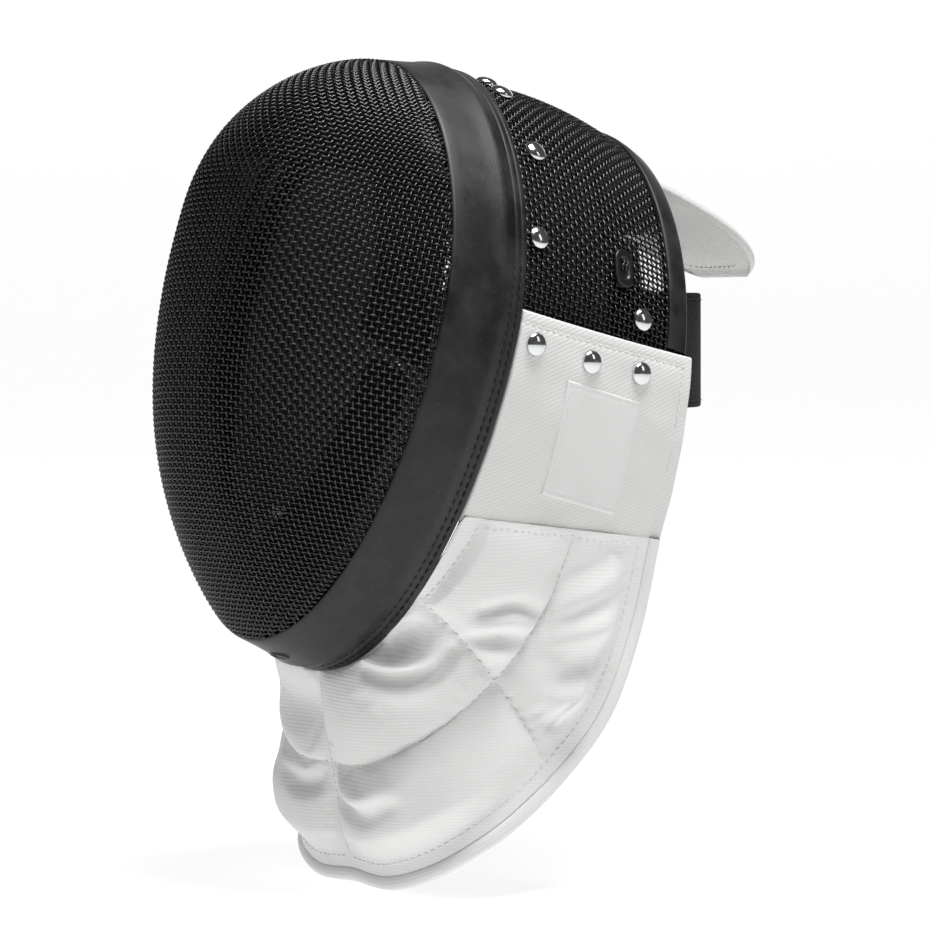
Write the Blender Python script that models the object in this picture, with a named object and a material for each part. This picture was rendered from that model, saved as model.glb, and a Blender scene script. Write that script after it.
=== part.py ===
"""Fencing mask, face towards -Y, as it sits on a head.

Shapes are worked out in the ring's own frame: x across, back behind the
ring's rear edge, up along the ring's plane. place() leans that frame and
puts the head's seat under the crown at the world's origin.
"""
import math

import bmesh
import bpy
import numpy as np
from mathutils import Matrix, Vector

# Driving sizes in metres
LEAN = math.radians(14.0)        # the ring's top leans back
CLEARANCE = 0.0003

RING_HALF_WIDTH = 0.104
RING_ABOVE = 0.128
RING_BELOW = 0.163
UPPER_ROUND = 1.75               # exponents of the ring's outline
LOWER_ROUND = 1.95

BAND_WIDTH = 0.037
BAND_WALL = 0.003
BAND_TAPER_SIDE = 0.004
BAND_TAPER_TOP = 0.007
BAND_TAPER_CHIN = 0.0065

FACE_DEPTH = 0.0695
FACE_APEX = 0.033                # foremost point above the ring's centre
FACE_ROUND = 2.36                # exponents of the dome: across,
FACE_BROW = 2.18                 # from the apex to the brow,
FACE_BROW_EASE = 0.69
FACE_CHIN = 3.06                 # and from the apex to the chin
MESH_WALL = 0.002
FACE_SKIRT = 0.015               # mesh under the band
FACE_LAP = 0.0005                # rim's inset from the band's outer edge
FACE_STEP = 0.002                # rim ahead of the band's front edge
FACE_TURNS = 42                  # steps round the face mesh

SIDE_LAP = 0.012                 # side mesh under the band
SIDE_BELOW = 0.030
SIDE_NARROWING = 0.0045
CROWN_DROP = 0.008
CROWN_BULGE = 0.0035
REAR_TOP = 0.100
REAR_SIDE = 0.1015               # mesh's rear edge at the ears
REAR_EAR = 0.105                 # flap's rear corner
BINDING_WIDTH = 0.0115
BINDING_WALL = 0.0012

LINING_WALL = 0.007
LINING_REAR = 0.055
LINING_BELOW = 0.050
PAD_WALL = 0.007
FOREHEAD_EDGE = 0.055            # lower edge of the forehead pad
FOREHEAD_SHARE = 0.97            # of the mesh's width there
CHIN_OPENING_HALF_WIDTH = 0.081
CHIN_OPENING_BELOW = 0.122

FLAP_WALL = 0.0018
FLAP_TOP = 0.010
FLAP_TOP_RISE = 0.003
FLAP_BOTTOM = 0.088
FLAP_BOTTOM_RISE = 0.013
FLAP_OVERHANG = 0.010            # rear edge's run behind the mesh, at the bottom

BIB_HALF_WIDTH = 0.082
BIB_LENGTH = 0.093               # chin to hem, straight down
BIB_REAR = 0.105                 # front of the hem to the rear corner
BIB_FRONT_SETBACK = 0.019        # hem's front behind the chin
BIB_WALL = 0.008
BIB_SEAM_WALL = 0.004
BIB_BELLY = 0.005                # forward swell of the lower half
PUFF_ROUND = 0.6                 # exponent of a panel's pillow shape
QUILT_ACROSS = 0.55              # share of the way from the centre seam to the flap
QUILT_DOWN = 0.50
HEM_WIDTH = 0.008
HEM_WALL = 0.007

LABEL_WIDTH = 0.044
LABEL_HEIGHT = 0.052
LABEL_WALL = 0.0006
LABEL_BACK = 0.057
LABEL_DOWN = 0.041
LABEL_SLANT = 0.085              # run forwards to its rise

RIVET_RADIUS = 0.0055
RIVET_HEIGHT = 0.0032
SHANK_RADIUS = 0.0022
WASHER_RADIUS = 0.0042
WASHER_WALL = 0.0012

CLIP_WIDTH = 0.011
CLIP_HEIGHT = 0.019
CLIP_WALL = 0.0012
CLIP_BACK = 0.060
CLIP_UP = 0.044

TONGUE_HALF_WIDTH = 0.046
TONGUE_WALL = 0.004
TONGUE_LEVEL = 0.035             # it follows the lining up to here
TONGUE_ROOT = 0.004              # under the lining, behind the ring
TONGUE_RIVET_BACK = 0.014
TONGUE_PLAY = 0.0010             # slack under its rivets
TONGUE_REACH = 0.099             # tip behind the crown's rear edge
TONGUE_SPRING = 0.012            # it starts to fall this far behind the flaps
TONGUE_FALL = 0.0345             # tip below the root
TONGUE_RIVET_SPACING = 0.040

STRAP_HEIGHT = 0.054
STRAP_WALL = 0.0025
STRAP_BOW = 0.093
STRAP_FREE = 0.25                # share of the bow in which it turns upright
STRAP_PLAY = 0.0008              # slack under its rivets
STRAP_UP = 0.006                 # its middle above the ring's centre, at the sides

SEAT_BACK = 0.020

# Rivets of one side: height on the ring, distance behind it, layers held
RIVETS = (
    {"up": 0.118, "back": 0.0140, "holds": "mesh"},
    {"up": 0.088, "back": 0.0140, "holds": "mesh"},
    {"up": 0.045, "back": 0.0085, "holds": "mesh"},
    {"up": 0.023, "back": 0.073, "holds": "mesh and strap"},
    {"up": -0.004, "back": 0.0105, "holds": "flap"},
    {"up": -0.004, "back": 0.044, "holds": "flap"},
    {"up": -0.002, "back": 0.0745, "holds": "flap and strap"},
)

# The hem from the front centre to the rear corner, as shares of the bib's
# half width, of its run to the rear and of its rise to the flap's seam
HEM = (
    {"across": 0.00, "back": 0.00, "rise": 0.00},
    {"across": 0.34, "back": 0.00, "rise": -0.01},
    {"across": 0.64, "back": 0.06, "rise": 0.03},
    {"across": 0.83, "back": 0.18, "rise": 0.10},
    {"across": 0.92, "back": 0.35, "rise": 0.20},
    {"across": 0.96, "back": 0.60, "rise": 0.34},
    {"across": 0.99, "back": 0.80, "rise": 0.50},
    {"across": 1.00, "back": 0.95, "rise": 0.73},
    {"across": 1.03, "back": 1.00, "rise": 1.00},
)

# Puff of the bib's four panels, as shares of its padded wall
PANELS = (
    {"panel": "throat", "rear": 0, "lower": 0, "puff": 0.55},
    {"panel": "chest", "rear": 0, "lower": 1, "puff": 1.2},
    {"panel": "cheek", "rear": 1, "lower": 0, "puff": 0.8},
    {"panel": "shoulder", "rear": 1, "lower": 1, "puff": 0.9},
)


# Frame and outlines
def outline(angle, half, above, below):
    """Point of an egg-shaped ring, the angle measured from its top."""
    lift = math.cos(angle)
    if lift >= 0:
        up = above * lift ** (2 / UPPER_ROUND)
    else:
        up = -below * (-lift) ** (2 / LOWER_ROUND)
    return half * math.sin(angle), up


def half_width_at(up, half, above, below):
    """Half width of the same ring at a height."""
    if up >= 0:
        share = min(up / above, 1) ** UPPER_ROUND
    else:
        share = min(-up / below, 1) ** LOWER_ROUND
    return half * math.sqrt(1 - share)


def angle_at(up, above, below):
    """Angle from the top at which the ring reaches a height."""
    if up >= 0:
        return math.acos((up / above) ** (UPPER_ROUND / 2))
    return math.pi - math.acos((-up / below) ** (LOWER_ROUND / 2))


def side_sizes(back, inset=0.0):
    """Half width, height above and depth below of the side shell."""
    share = max(back, 0) / REAR_EAR
    under = max(-back, 0) / BAND_WIDTH
    lap = BAND_WALL + CLEARANCE + inset
    half = RING_HALF_WIDTH - lap - SIDE_NARROWING * share ** 1.5 - BAND_TAPER_SIDE * under
    arch = CROWN_BULGE * math.sin(math.pi * min(share, 1)) - CROWN_DROP * share ** 3
    above = RING_ABOVE - lap + arch - BAND_TAPER_TOP * under
    return half, above, RING_BELOW - lap - BAND_TAPER_CHIN * under


FACE_TURN = 2 * math.pi / FACE_TURNS
LINING_INSET = MESH_WALL + WASHER_WALL + 3 * CLEARANCE
TONGUE_INSET = LINING_INSET + LINING_WALL + 5 * CLEARANCE
SEAT_UP = side_sizes(SEAT_BACK, TONGUE_INSET + TONGUE_WALL)[1]


def lean(x, back, up):
    """Ring frame to leaned frame, about the ring's centre."""
    y = back * math.cos(LEAN) + up * math.sin(LEAN)
    z = up * math.cos(LEAN) - back * math.sin(LEAN)
    return Vector((x, y, z))


SEAT = lean(0, SEAT_BACK, SEAT_UP)


def place(x, back, up):
    """Ring frame to the world, whose origin is the head's seat."""
    return lean(x, back, up) - SEAT


def band_point(angle, share, inset):
    """On the front trim: share 0 is its rear edge, 1 its front edge."""
    x, up = outline(angle,
                    RING_HALF_WIDTH - BAND_TAPER_SIDE * share - inset,
                    RING_ABOVE - BAND_TAPER_TOP * share - inset,
                    RING_BELOW - BAND_TAPER_CHIN * share - inset)
    return place(x, -BAND_WIDTH * share, up)


def rim_sizes(inset):
    """The face mesh's rim, just ahead of the band's front edge."""
    lap = FACE_LAP + inset
    return (RING_HALF_WIDTH - BAND_TAPER_SIDE - lap,
            RING_ABOVE - BAND_TAPER_TOP - lap,
            RING_BELOW - BAND_TAPER_CHIN - lap)


def face_depth(x, up, inset):
    """How far the face mesh stands in front of its rim."""
    half, above, below = rim_sizes(inset)
    if up >= FACE_APEX:
        share = min((up - FACE_APEX) / (above - FACE_APEX), 1)
        height = (1 - share ** FACE_BROW) ** FACE_BROW_EASE
    else:
        share = min((FACE_APEX - up) / (FACE_APEX + below), 1)
        height = 1 - share ** FACE_CHIN
    side = min(abs(x) / max(half_width_at(up, half, above, below), 1e-6), 1)
    return (FACE_DEPTH - inset) * height * (1 - side ** FACE_ROUND)


def face_point(x, up, inset):
    return place(x, -BAND_WIDTH - FACE_STEP - face_depth(x, up, inset), up)


def skirt_point(angle, run, inset):
    """On the face mesh's skirt, which runs back under the band."""
    lap = BAND_WALL + CLEARANCE + inset
    x, up = outline(angle,
                    RING_HALF_WIDTH - BAND_TAPER_SIDE - lap,
                    RING_ABOVE - BAND_TAPER_TOP - lap,
                    RING_BELOW - BAND_TAPER_CHIN - lap)
    return place(x, -BAND_WIDTH + run, up)


def side_point(angle, back, inset=0.0):
    x, up = outline(angle, *side_sizes(back, inset))
    return place(x, back, up)


def side_at(up, back, inset=0.0, side=1):
    """On the side shell, by height instead of angle."""
    half, above, below = side_sizes(back, inset)
    return place(side * half_width_at(up, half, above, below), back, up)


def rear_edge(angle):
    """Distance of the side mesh's rear edge behind the ring."""
    return REAR_SIDE + (REAR_TOP - REAR_SIDE) * max(math.cos(angle), 0)


# Meshes
def material(name, colour, roughness, metallic=0.0):
    shade = bpy.data.materials.new(name)
    shade.use_nodes = True
    principled = shade.node_tree.nodes["Principled BSDF"]
    principled.inputs["Base Color"].default_value = (*colour, 1)
    principled.inputs["Roughness"].default_value = roughness
    principled.inputs["Metallic"].default_value = metallic
    shade.diffuse_color = (*colour, 1)
    return shade


def finish(name, bm, shade, smooth=True):
    """Close, turn outwards and link one body."""
    bmesh.ops.remove_doubles(bm, verts=bm.verts, dist=1e-6)
    bmesh.ops.recalc_face_normals(bm, faces=bm.faces)
    mesh = bpy.data.meshes.new(name)
    bm.to_mesh(mesh)
    bm.free()
    if smooth:
        mesh.shade_smooth()
        mesh.set_sharp_from_angle(angle=math.radians(40))
    mesh.materials.append(shade)
    body = bpy.data.objects.new(name, mesh)
    bpy.context.collection.objects.link(body)
    return body


def grid_faces(bm, rows, around):
    """Quads over rows of vertices, closed along each row if around."""
    for upper, lower in zip(rows, rows[1:]):
        count = len(upper)
        for j in range(count if around else count - 1):
            k = (j + 1) % count
            bm.faces.new((upper[j], upper[k], lower[k], lower[j]))


def skin(name, outer, inner, shade, around=False):
    """Closed wall between two matching grids of points."""
    bm = bmesh.new()
    front = [[bm.verts.new(p) for p in row] for row in outer]
    back = [[bm.verts.new(p) for p in row] for row in inner]
    grid_faces(bm, front, around)
    grid_faces(bm, back, around)
    grid_faces(bm, [front[0], back[0]], around)
    grid_faces(bm, [front[-1], back[-1]], around)
    if not around:
        grid_faces(bm, [[r[0] for r in front], [r[0] for r in back]], False)
        grid_faces(bm, [[r[-1] for r in front], [r[-1] for r in back]], False)
    return finish(name, bm, shade)


def loft(name, loops, shade, closed):
    """Body through closed profile loops, with end caps unless closed."""
    bm = bmesh.new()
    rows = [[bm.verts.new(p) for p in loop] for loop in loops]
    grid_faces(bm, rows + rows[:1] if closed else rows, True)
    if not closed:
        bm.faces.new(rows[0])
        bm.faces.new(rows[-1])
    return finish(name, bm, shade)


def angles(first, last, steps):
    return [first + (last - first) * i / steps for i in range(steps + 1)]


def smooth_through(points, count):
    """Points spread evenly on a Catmull-Rom curve through the given ones."""
    points = [np.array(p, float) for p in points]
    padded = [2 * points[0] - points[1]] + points + [2 * points[-1] - points[-2]]
    fine = []
    for a, b, c, d in zip(padded, padded[1:], padded[2:], padded[3:]):
        for t in np.linspace(0, 1, 12, endpoint=False):
            fine.append(0.5 * (2 * b + (c - a) * t + (2 * a - 5 * b + 4 * c - d) * t ** 2
                               + (3 * b - a - 3 * c + d) * t ** 3))
    fine = np.array(fine + [points[-1]])
    run = np.concatenate([[0], np.cumsum(np.linalg.norm(np.diff(fine, axis=0), axis=1))])
    even = np.linspace(0, run[-1], count)
    return [Vector([np.interp(e, run, fine[:, axis]) for axis in range(3)]) for e in even]


# Wire meshes and rubber trims
def make_front_mesh(shade):
    turns = [FACE_TURN * i for i in range(FACE_TURNS)]
    shares = (0, 0.22, 0.42, 0.6, 0.75, 0.87, 0.95, 1)

    def wall(inset):
        rows = []
        for share in shares:
            row = []
            for turn in turns:
                x, up = outline(turn, *rim_sizes(inset))
                row.append(face_point(share * x, FACE_APEX + share * (up - FACE_APEX), inset))
            rows.append(row)
        rows.append([skirt_point(turn, 0, inset) for turn in turns])
        rows.append([skirt_point(turn, FACE_SKIRT, inset) for turn in turns])
        return rows

    bm = bmesh.new()
    outer = [[bm.verts.new(p) for p in row] for row in wall(0)]
    inner = [[bm.verts.new(p) for p in row] for row in wall(MESH_WALL)]
    grid_faces(bm, outer, True)
    grid_faces(bm, inner, True)
    grid_faces(bm, [outer[-1], inner[-1]], True)
    bmesh.ops.dissolve_degenerate(bm, dist=1e-6, edges=bm.edges)
    return finish("front_mesh", bm, shade)


def make_side_mesh(shade):
    low = angle_at(-SIDE_BELOW, *side_sizes(0)[1:])
    shares = (0, 0.1, 0.3, 0.5, 0.7, 0.86, 1)

    def wall(inset):
        rows = []
        for turn in angles(-low, low, 36):
            end = rear_edge(turn) - 1.5 * BINDING_WALL
            runs = [-SIDE_LAP + share * (end + SIDE_LAP) for share in shares]
            rows.append([side_point(turn, back, inset) for back in runs])
        return rows

    return skin("side_mesh", wall(0), wall(MESH_WALL), shade)


def make_front_trim(shade):
    # Share of the band's width from the rear, and inset from the outline
    section = ((0.0, 0.0012), (0.04, 0.0), (0.26, -0.0010), (0.6, -0.0004), (0.96, 0.0),
               (1.0, 0.0010), (1.0, BAND_WALL), (0.55, BAND_WALL), (0.06, BAND_WALL),
               (0.0, BAND_WALL - 0.0008))
    loops = [[band_point(turn, share, inset) for share, inset in section]
             for turn in angles(0, 2 * math.pi, 56)[:-1]]
    return loft("front_trim", loops, shade, closed=True)


def make_rear_trim(shade):
    outer = -CLEARANCE - BINDING_WALL
    inner = MESH_WALL + CLEARANCE + BINDING_WALL
    # Distance ahead of the rear edge, and inset from the mesh's outer face
    section = ((BINDING_WIDTH, -CLEARANCE), (BINDING_WIDTH, outer), (0.001, outer),
               (0.0, -CLEARANCE), (0.0, MESH_WALL), (0.001, inner), (BINDING_WIDTH, inner),
               (BINDING_WIDTH, MESH_WALL + CLEARANCE),
               (BINDING_WALL, MESH_WALL + CLEARANCE), (BINDING_WALL, -CLEARANCE))
    end = angle_at(FLAP_TOP + FLAP_TOP_RISE + CLEARANCE, *side_sizes(REAR_EAR)[1:])
    loops = [[side_point(turn, rear_edge(turn) - ahead, inset) for ahead, inset in section]
             for turn in angles(-end, end, 36)]
    return loft("rear_trim", loops, shade, closed=False)


# Padded lining
def make_side_lining(shade):
    low = angle_at(-LINING_BELOW, *side_sizes(0)[1:])
    first = -BAND_WIDTH + FACE_SKIRT + CLEARANCE
    runs = [first + (LINING_REAR - first) * share for share in (0, 0.3, 0.65, 1)]

    def wall(inset):
        return [[side_point(turn, back, inset) for back in runs]
                for turn in angles(-low, low, 32)]

    return skin("side_lining", wall(LINING_INSET), wall(LINING_INSET + LINING_WALL), shade)


def face_pad(name, turns, opening, shade):
    """Pad behind the face mesh, from an opening's edge to the band."""
    gap = MESH_WALL + 3 * CLEARANCE

    def wall(depth):
        rows = []
        for turn in turns:
            rim = skirt_point(turn, FACE_SKIRT, gap + depth)
            rim_x, rim_up = outline(turn, *rim_sizes(BAND_WALL + gap + depth))
            edge_x, edge_up = opening(turn)
            row = [face_point(edge_x + share * (rim_x - edge_x),
                              edge_up + share * (rim_up - edge_up), gap + depth)
                   for share in (0, 0.35, 0.7, 1)]
            rows.append(row + [rim])
        return rows

    return skin(name, wall(0), wall(PAD_WALL), shade)


def make_forehead_pad(shade):
    sizes = rim_sizes(BAND_WALL + MESH_WALL + PAD_WALL)
    reach = angle_at(FOREHEAD_EDGE + PAD_WALL / 2, *sizes[1:])
    width = half_width_at(FOREHEAD_EDGE, *sizes)

    def opening(turn):
        return FOREHEAD_SHARE * width * math.sin(turn) / math.sin(reach), FOREHEAD_EDGE

    return face_pad("forehead_pad", angles(-reach, reach, 20), opening, shade)


def make_chin_pad(shade):
    reach = 9 * FACE_TURN
    turns = angles(math.pi - reach, math.pi + reach, 18)

    def opening(turn):
        return outline(turn, CHIN_OPENING_HALF_WIDTH, RING_ABOVE, CHIN_OPENING_BELOW)

    return face_pad("chin_pad", turns, opening, shade)


# Canvas flaps and labels
FLAP_GAP = 2 * CLEARANCE
FLAP_INSET = -FLAP_GAP - FLAP_WALL


def flap_top(back):
    return FLAP_TOP + FLAP_TOP_RISE * (back / REAR_EAR) ** 2


def flap_bottom(back):
    return -FLAP_BOTTOM + FLAP_BOTTOM_RISE * back / REAR_EAR


def flap_back(share, down):
    """Distance behind the ring, by share of the run and of the drop."""
    first = 2 * CLEARANCE
    return first + share * (REAR_EAR + FLAP_OVERHANG * down - first)


def make_flap(name, side, shade):
    def wall(inset):
        rows = []
        for down in angles(0, 1, 7):
            row = []
            for share in angles(0, 1, 5):
                back = flap_back(share, down)
                up = flap_top(back) + down * (flap_bottom(back) - flap_top(back))
                row.append(side_at(up, back, inset, side))
            rows.append(row)
        return rows

    return skin(name, wall(FLAP_INSET), wall(-FLAP_GAP), shade)


def make_label(name, side, shade):
    def wall(inset):
        rows = []
        for drop in angles(-0.5, 0.5, 3):
            up = -LABEL_DOWN + LABEL_HEIGHT * drop
            back = LABEL_BACK - LABEL_SLANT * LABEL_HEIGHT * drop
            rows.append([side_at(up, back + LABEL_WIDTH * run, inset, side)
                         for run in angles(-0.5, 0.5, 3)])
        return rows

    first = FLAP_INSET - CLEARANCE
    return skin(name, wall(first - LABEL_WALL), wall(first), shade)


# Quilted bib
def bib_edges(steps):
    """The four edges of the bib's left half, as rows of points."""
    low = angle_at(-FLAP_BOTTOM - 3 * CLEARANCE, *side_sizes(0)[1:])
    chin = [band_point(turn, 0, BAND_WALL / 3) for turn in angles(math.pi, low, steps)]
    chin = [p + place(0, 2 * CLEARANCE, 0) - place(0, 0, 0) for p in chin]
    seam = []
    for share in angles(0, 1, steps):
        back = flap_back(share, 1) - (HEM_WIDTH + CLEARANCE) * share
        seam.append(side_at(flap_bottom(back) - 3 * CLEARANCE, back, FLAP_INSET))
    seam[0] = chin[-1]
    front = chin[0] + Vector((0, BIB_FRONT_SETBACK, -BIB_LENGTH))
    corner = seam[-1]
    hem = [(BIB_HALF_WIDTH * row["across"], front.y + BIB_REAR * row["back"],
            front.z + (corner.z - front.z) * row["rise"]) for row in HEM]
    hem[-1] = tuple(corner)
    hem = smooth_through(hem, steps + 1)
    centre = [chin[0].lerp(front, share) for share in angles(0, 1, steps)]
    return chin, seam, hem, centre


def pillow(share, stitched):
    """Puff of a panel between two rows of stitches, 0 at each row."""
    if share < stitched:
        place_in = share / stitched
    else:
        place_in = (share - stitched) / (1 - stitched)
    return math.sin(math.pi * place_in) ** PUFF_ROUND


def panel_puff(across, down):
    """Puff of the panel at a place on the bib."""
    rear = int(across > QUILT_ACROSS)
    lower = int(down > QUILT_DOWN)
    for row in PANELS:
        if (row["rear"], row["lower"]) == (rear, lower):
            return row["puff"]


def bib_half(steps):
    """Outer and inner points of the left half, centre seam first."""
    chin, seam, hem, centre = bib_edges(steps)
    base = []
    for i, v in enumerate(angles(0, 1, steps)):
        row = []
        for j, u in enumerate(angles(0, 1, steps)):
            sides = centre[i] * (1 - u) + seam[i] * u
            ends = chin[j] * (1 - v) + hem[j] * v
            corners = ((chin[0] * (1 - u) + chin[-1] * u) * (1 - v)
                       + (hem[0] * (1 - u) + hem[-1] * u) * v)
            row.append(sides + ends - corners)
        base.append(row)
    outer, inner = [], []
    for i, v in enumerate(angles(0, 1, steps)):
        outer_row, inner_row = [], []
        for j, u in enumerate(angles(0, 1, steps)):
            up = base[max(i - 1, 0)][j] - base[min(i + 1, steps)][j]
            out = base[i][min(j + 1, steps)] - base[i][max(j - 1, 0)]
            normal = out.cross(up).normalized()
            if j == 0:
                normal = Vector((0, normal.y, normal.z)).normalized()
            puff = pillow(u, QUILT_ACROSS) * pillow(v, QUILT_DOWN)
            wall = BIB_SEAM_WALL + (BIB_WALL - BIB_SEAM_WALL) * puff
            rise = BIB_WALL * puff * panel_puff(u, v)
            belly = BIB_BELLY * math.sin(math.pi * v) * v * math.sin(math.pi * min(1, u + 0.15))
            point = base[i][j] + normal * rise - Vector((0, belly, 0))
            outer_row.append(point)
            inner_row.append(point - normal * wall)
        outer.append(outer_row)
        inner.append(inner_row)
    return outer, inner


def mirrored(rows):
    """Right half and left half of each row in one."""
    whole = []
    for row in rows:
        flipped = [Vector((-p.x, p.y, p.z)) for p in row[:0:-1]]
        whole.append(flipped + [Vector((0, row[0].y, row[0].z))] + row[1:])
    return whole


def make_bib(steps, shade):
    outer, inner = bib_half(steps)
    return skin("bib", mirrored(outer), mirrored(inner), shade)


def make_bib_binding(steps, shade):
    """Rolled edge below the hem of the bib."""
    outer, inner = (mirrored(rows) for rows in bib_half(steps))
    loops = []
    for j in range(len(outer[-1])):
        middle = (outer[-1][j] + inner[-1][j]) / 2
        before = (outer[-2][j] + inner[-2][j]) / 2
        down = (middle - before).normalized()
        across = (outer[-1][j] - inner[-1][j]).normalized()
        # Shares of the hem's width below the bib and of its thickness
        section = ((0.0, 0.35), (0.2, 0.5), (0.8, 0.5), (1.0, 0.25), (1.0, -0.25),
                   (0.8, -0.5), (0.2, -0.5), (0.0, -0.35))
        start = middle + down * CLEARANCE
        loops.append([start + down * HEM_WIDTH * run + across * HEM_WALL * rise
                      for run, rise in section])
    return loft("bib_binding", loops, shade, closed=False)


# Tongue and strap
def crown_fall(x, back, inset):
    """How far the shell falls away from its crown at a distance across."""
    half, above, _ = side_sizes(back, inset)
    return above * (1 - (1 - min(abs(x) / half, 1) ** 2) ** (1 / UPPER_ROUND))


def tongue_line(share):
    """Middle of the tongue, in the ring frame: back and up."""
    inset = TONGUE_INSET + TONGUE_WALL / 2
    root = Vector((TONGUE_ROOT, side_sizes(TONGUE_ROOT, inset)[1]))
    level = Vector((TONGUE_LEVEL, side_sizes(TONGUE_LEVEL, inset)[1]))
    bend = Vector((REAR_EAR + TONGUE_SPRING, level.y))
    tip = Vector((REAR_TOP + TONGUE_REACH, root.y - TONGUE_FALL))
    rest = 1 - share
    return (root * rest ** 3 + level * 3 * rest ** 2 * share
            + bend * 3 * rest * share ** 2 + tip * share ** 3)


def make_tongue(shade):
    def wall(lift):
        rows = []
        for share in (0, 0.12, 0.25, 0.4, 0.55, 0.7, 0.82, 0.9, 0.96, 0.99):
            here = tongue_line(share)
            ahead = tongue_line(share + 0.01) - tongue_line(share - 0.01)
            ahead.normalize()
            normal = Vector((-ahead.y, ahead.x))
            corner = max(share - 0.7, 0) / 0.3
            half = TONGUE_HALF_WIDTH * (0.8 + 0.2 * min(share / 0.4, 1))
            half *= (1 - corner ** 3) ** 0.5
            row = []
            for across in angles(-1, 1, 8):
                sag = crown_fall(half * across, TONGUE_ROOT, TONGUE_INSET)
                spot = here + normal * (lift - sag * (1 - share ** 2))
                row.append(place(half * across, spot.x, spot.y))
            rows.append(row)
        return rows

    return skin("tongue", wall(TONGUE_WALL / 2), wall(-TONGUE_WALL / 2), shade)


def strap_point(turn, height, inset):
    """On the strap: turn from -90 to 90 degrees, height from its middle."""
    behind = LINING_REAR + STRAP_HEIGHT / 2 * math.sin(LEAN) + 3 * CLEARANCE
    anchor = lean(0, behind, STRAP_UP)
    run = math.cos(turn)
    y = anchor.y + (STRAP_BOW - inset) * run
    z = anchor.z + height
    back = y * math.cos(LEAN) - z * math.sin(LEAN)
    up = y * math.sin(LEAN) + z * math.cos(LEAN)
    sizes = side_sizes(min(back, REAR_EAR), MESH_WALL + CLEARANCE + inset)
    held = half_width_at(min(up, STRAP_UP + STRAP_HEIGHT), *sizes)
    free = half_width_at(STRAP_UP, *sizes)
    leaves = (REAR_EAR - behind + STRAP_HEIGHT / 2 * math.sin(LEAN)) / STRAP_BOW
    loose = min(max(run - leaves, 0) / STRAP_FREE, 1)
    x = held + (free - held) * loose * loose * (3 - 2 * loose)
    x *= math.copysign(math.sqrt(1 - run ** 3), turn)
    return Vector((x, y, z)) - SEAT


def make_back_strap(shade):
    def wall(inset):
        return [[strap_point(turn, STRAP_HEIGHT * height, inset)
                 for height in (-0.5, -0.25, 0, 0.25, 0.5)]
                for turn in angles(-math.pi / 2, math.pi / 2, 24)]

    return skin("back_strap", wall(0), wall(STRAP_WALL), shade)


# Rivets and clips
def rivet_mesh(name, grip, shade):
    """Turned rivet, its head's underside at the top of what it holds."""
    # Radius and height above the outermost layer
    low = -grip - CLEARANCE
    profile = ((0, RIVET_HEIGHT), (0.55 * RIVET_RADIUS, 0.87 * RIVET_HEIGHT),
               (0.87 * RIVET_RADIUS, 0.5 * RIVET_HEIGHT), (RIVET_RADIUS, CLEARANCE),
               (SHANK_RADIUS, CLEARANCE), (SHANK_RADIUS, low), (WASHER_RADIUS, low),
               (WASHER_RADIUS, low - WASHER_WALL), (0, low - WASHER_WALL))
    bm = bmesh.new()
    points = [bm.verts.new((radius, 0, height)) for radius, height in profile]
    edges = [bm.edges.new(pair) for pair in zip(points, points[1:])]
    bmesh.ops.spin(bm, geom=points + edges, axis=(0, 0, 1), cent=(0, 0, 0),
                   angle=2 * math.pi, steps=8, use_duplicate=False)
    bmesh.ops.remove_doubles(bm, verts=bm.verts, dist=1e-5)
    bmesh.ops.dissolve_degenerate(bm, dist=1e-6, edges=bm.edges)
    bmesh.ops.recalc_face_normals(bm, faces=bm.faces)
    mesh = bpy.data.meshes.new(name)
    bm.to_mesh(mesh)
    bm.free()
    mesh.shade_smooth()
    mesh.set_sharp_from_angle(angle=math.radians(40))
    mesh.materials.append(shade)
    return mesh


def pose(point, normal, upward):
    """Matrix with +Z along the normal and +Y as near upward as it goes."""
    across = upward.cross(normal).normalized()
    upward = normal.cross(across)
    turned = Matrix((across, upward, normal)).transposed()
    return Matrix.Translation(point) @ turned.to_4x4()


def side_pose(up, back, inset, side):
    """Pose on the side shell, looking outwards."""
    step = 0.002
    point = side_at(up, back, inset, side)
    upward = side_at(up + step, back, inset, side) - side_at(up - step, back, inset, side)
    along = side_at(up, back + step, inset, side) - side_at(up, back - step, inset, side)
    normal = along.cross(upward) * side
    return pose(point, normal.normalized(), upward.normalized())


def drill(body, poses):
    """Cut a rivet's hole through a body at each pose."""
    radius = SHANK_RADIUS + CLEARANCE
    depth = 3 * (TONGUE_INSET + TONGUE_WALL)
    cutters = []
    for matrix in poses:
        bm = bmesh.new()
        bmesh.ops.create_cone(bm, cap_ends=True, segments=8, radius1=radius,
                              radius2=radius, depth=depth)
        mesh = bpy.data.meshes.new("drill")
        bm.to_mesh(mesh)
        bm.free()
        cutter = bpy.data.objects.new("drill", mesh)
        cutter.matrix_world = matrix @ Matrix.Rotation(math.pi / 8, 4, "Z")
        cutters.append(cutter)
    group = bpy.data.collections.new("drills_" + body.name)
    bpy.context.scene.collection.children.link(group)
    for cutter in cutters:
        group.objects.link(cutter)
        cutter.hide_render = True
        cutter.display_type = "WIRE"
    cut = body.modifiers.new("holes", "BOOLEAN")
    cut.operation = "DIFFERENCE"
    cut.solver = "EXACT"
    cut.operand_type = "COLLECTION"
    cut.collection = group


def add(name, mesh, matrix, parent):
    body = bpy.data.objects.new(name, mesh)
    body.matrix_world = matrix
    bpy.context.collection.objects.link(body)
    body.parent = parent
    return body


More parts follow.
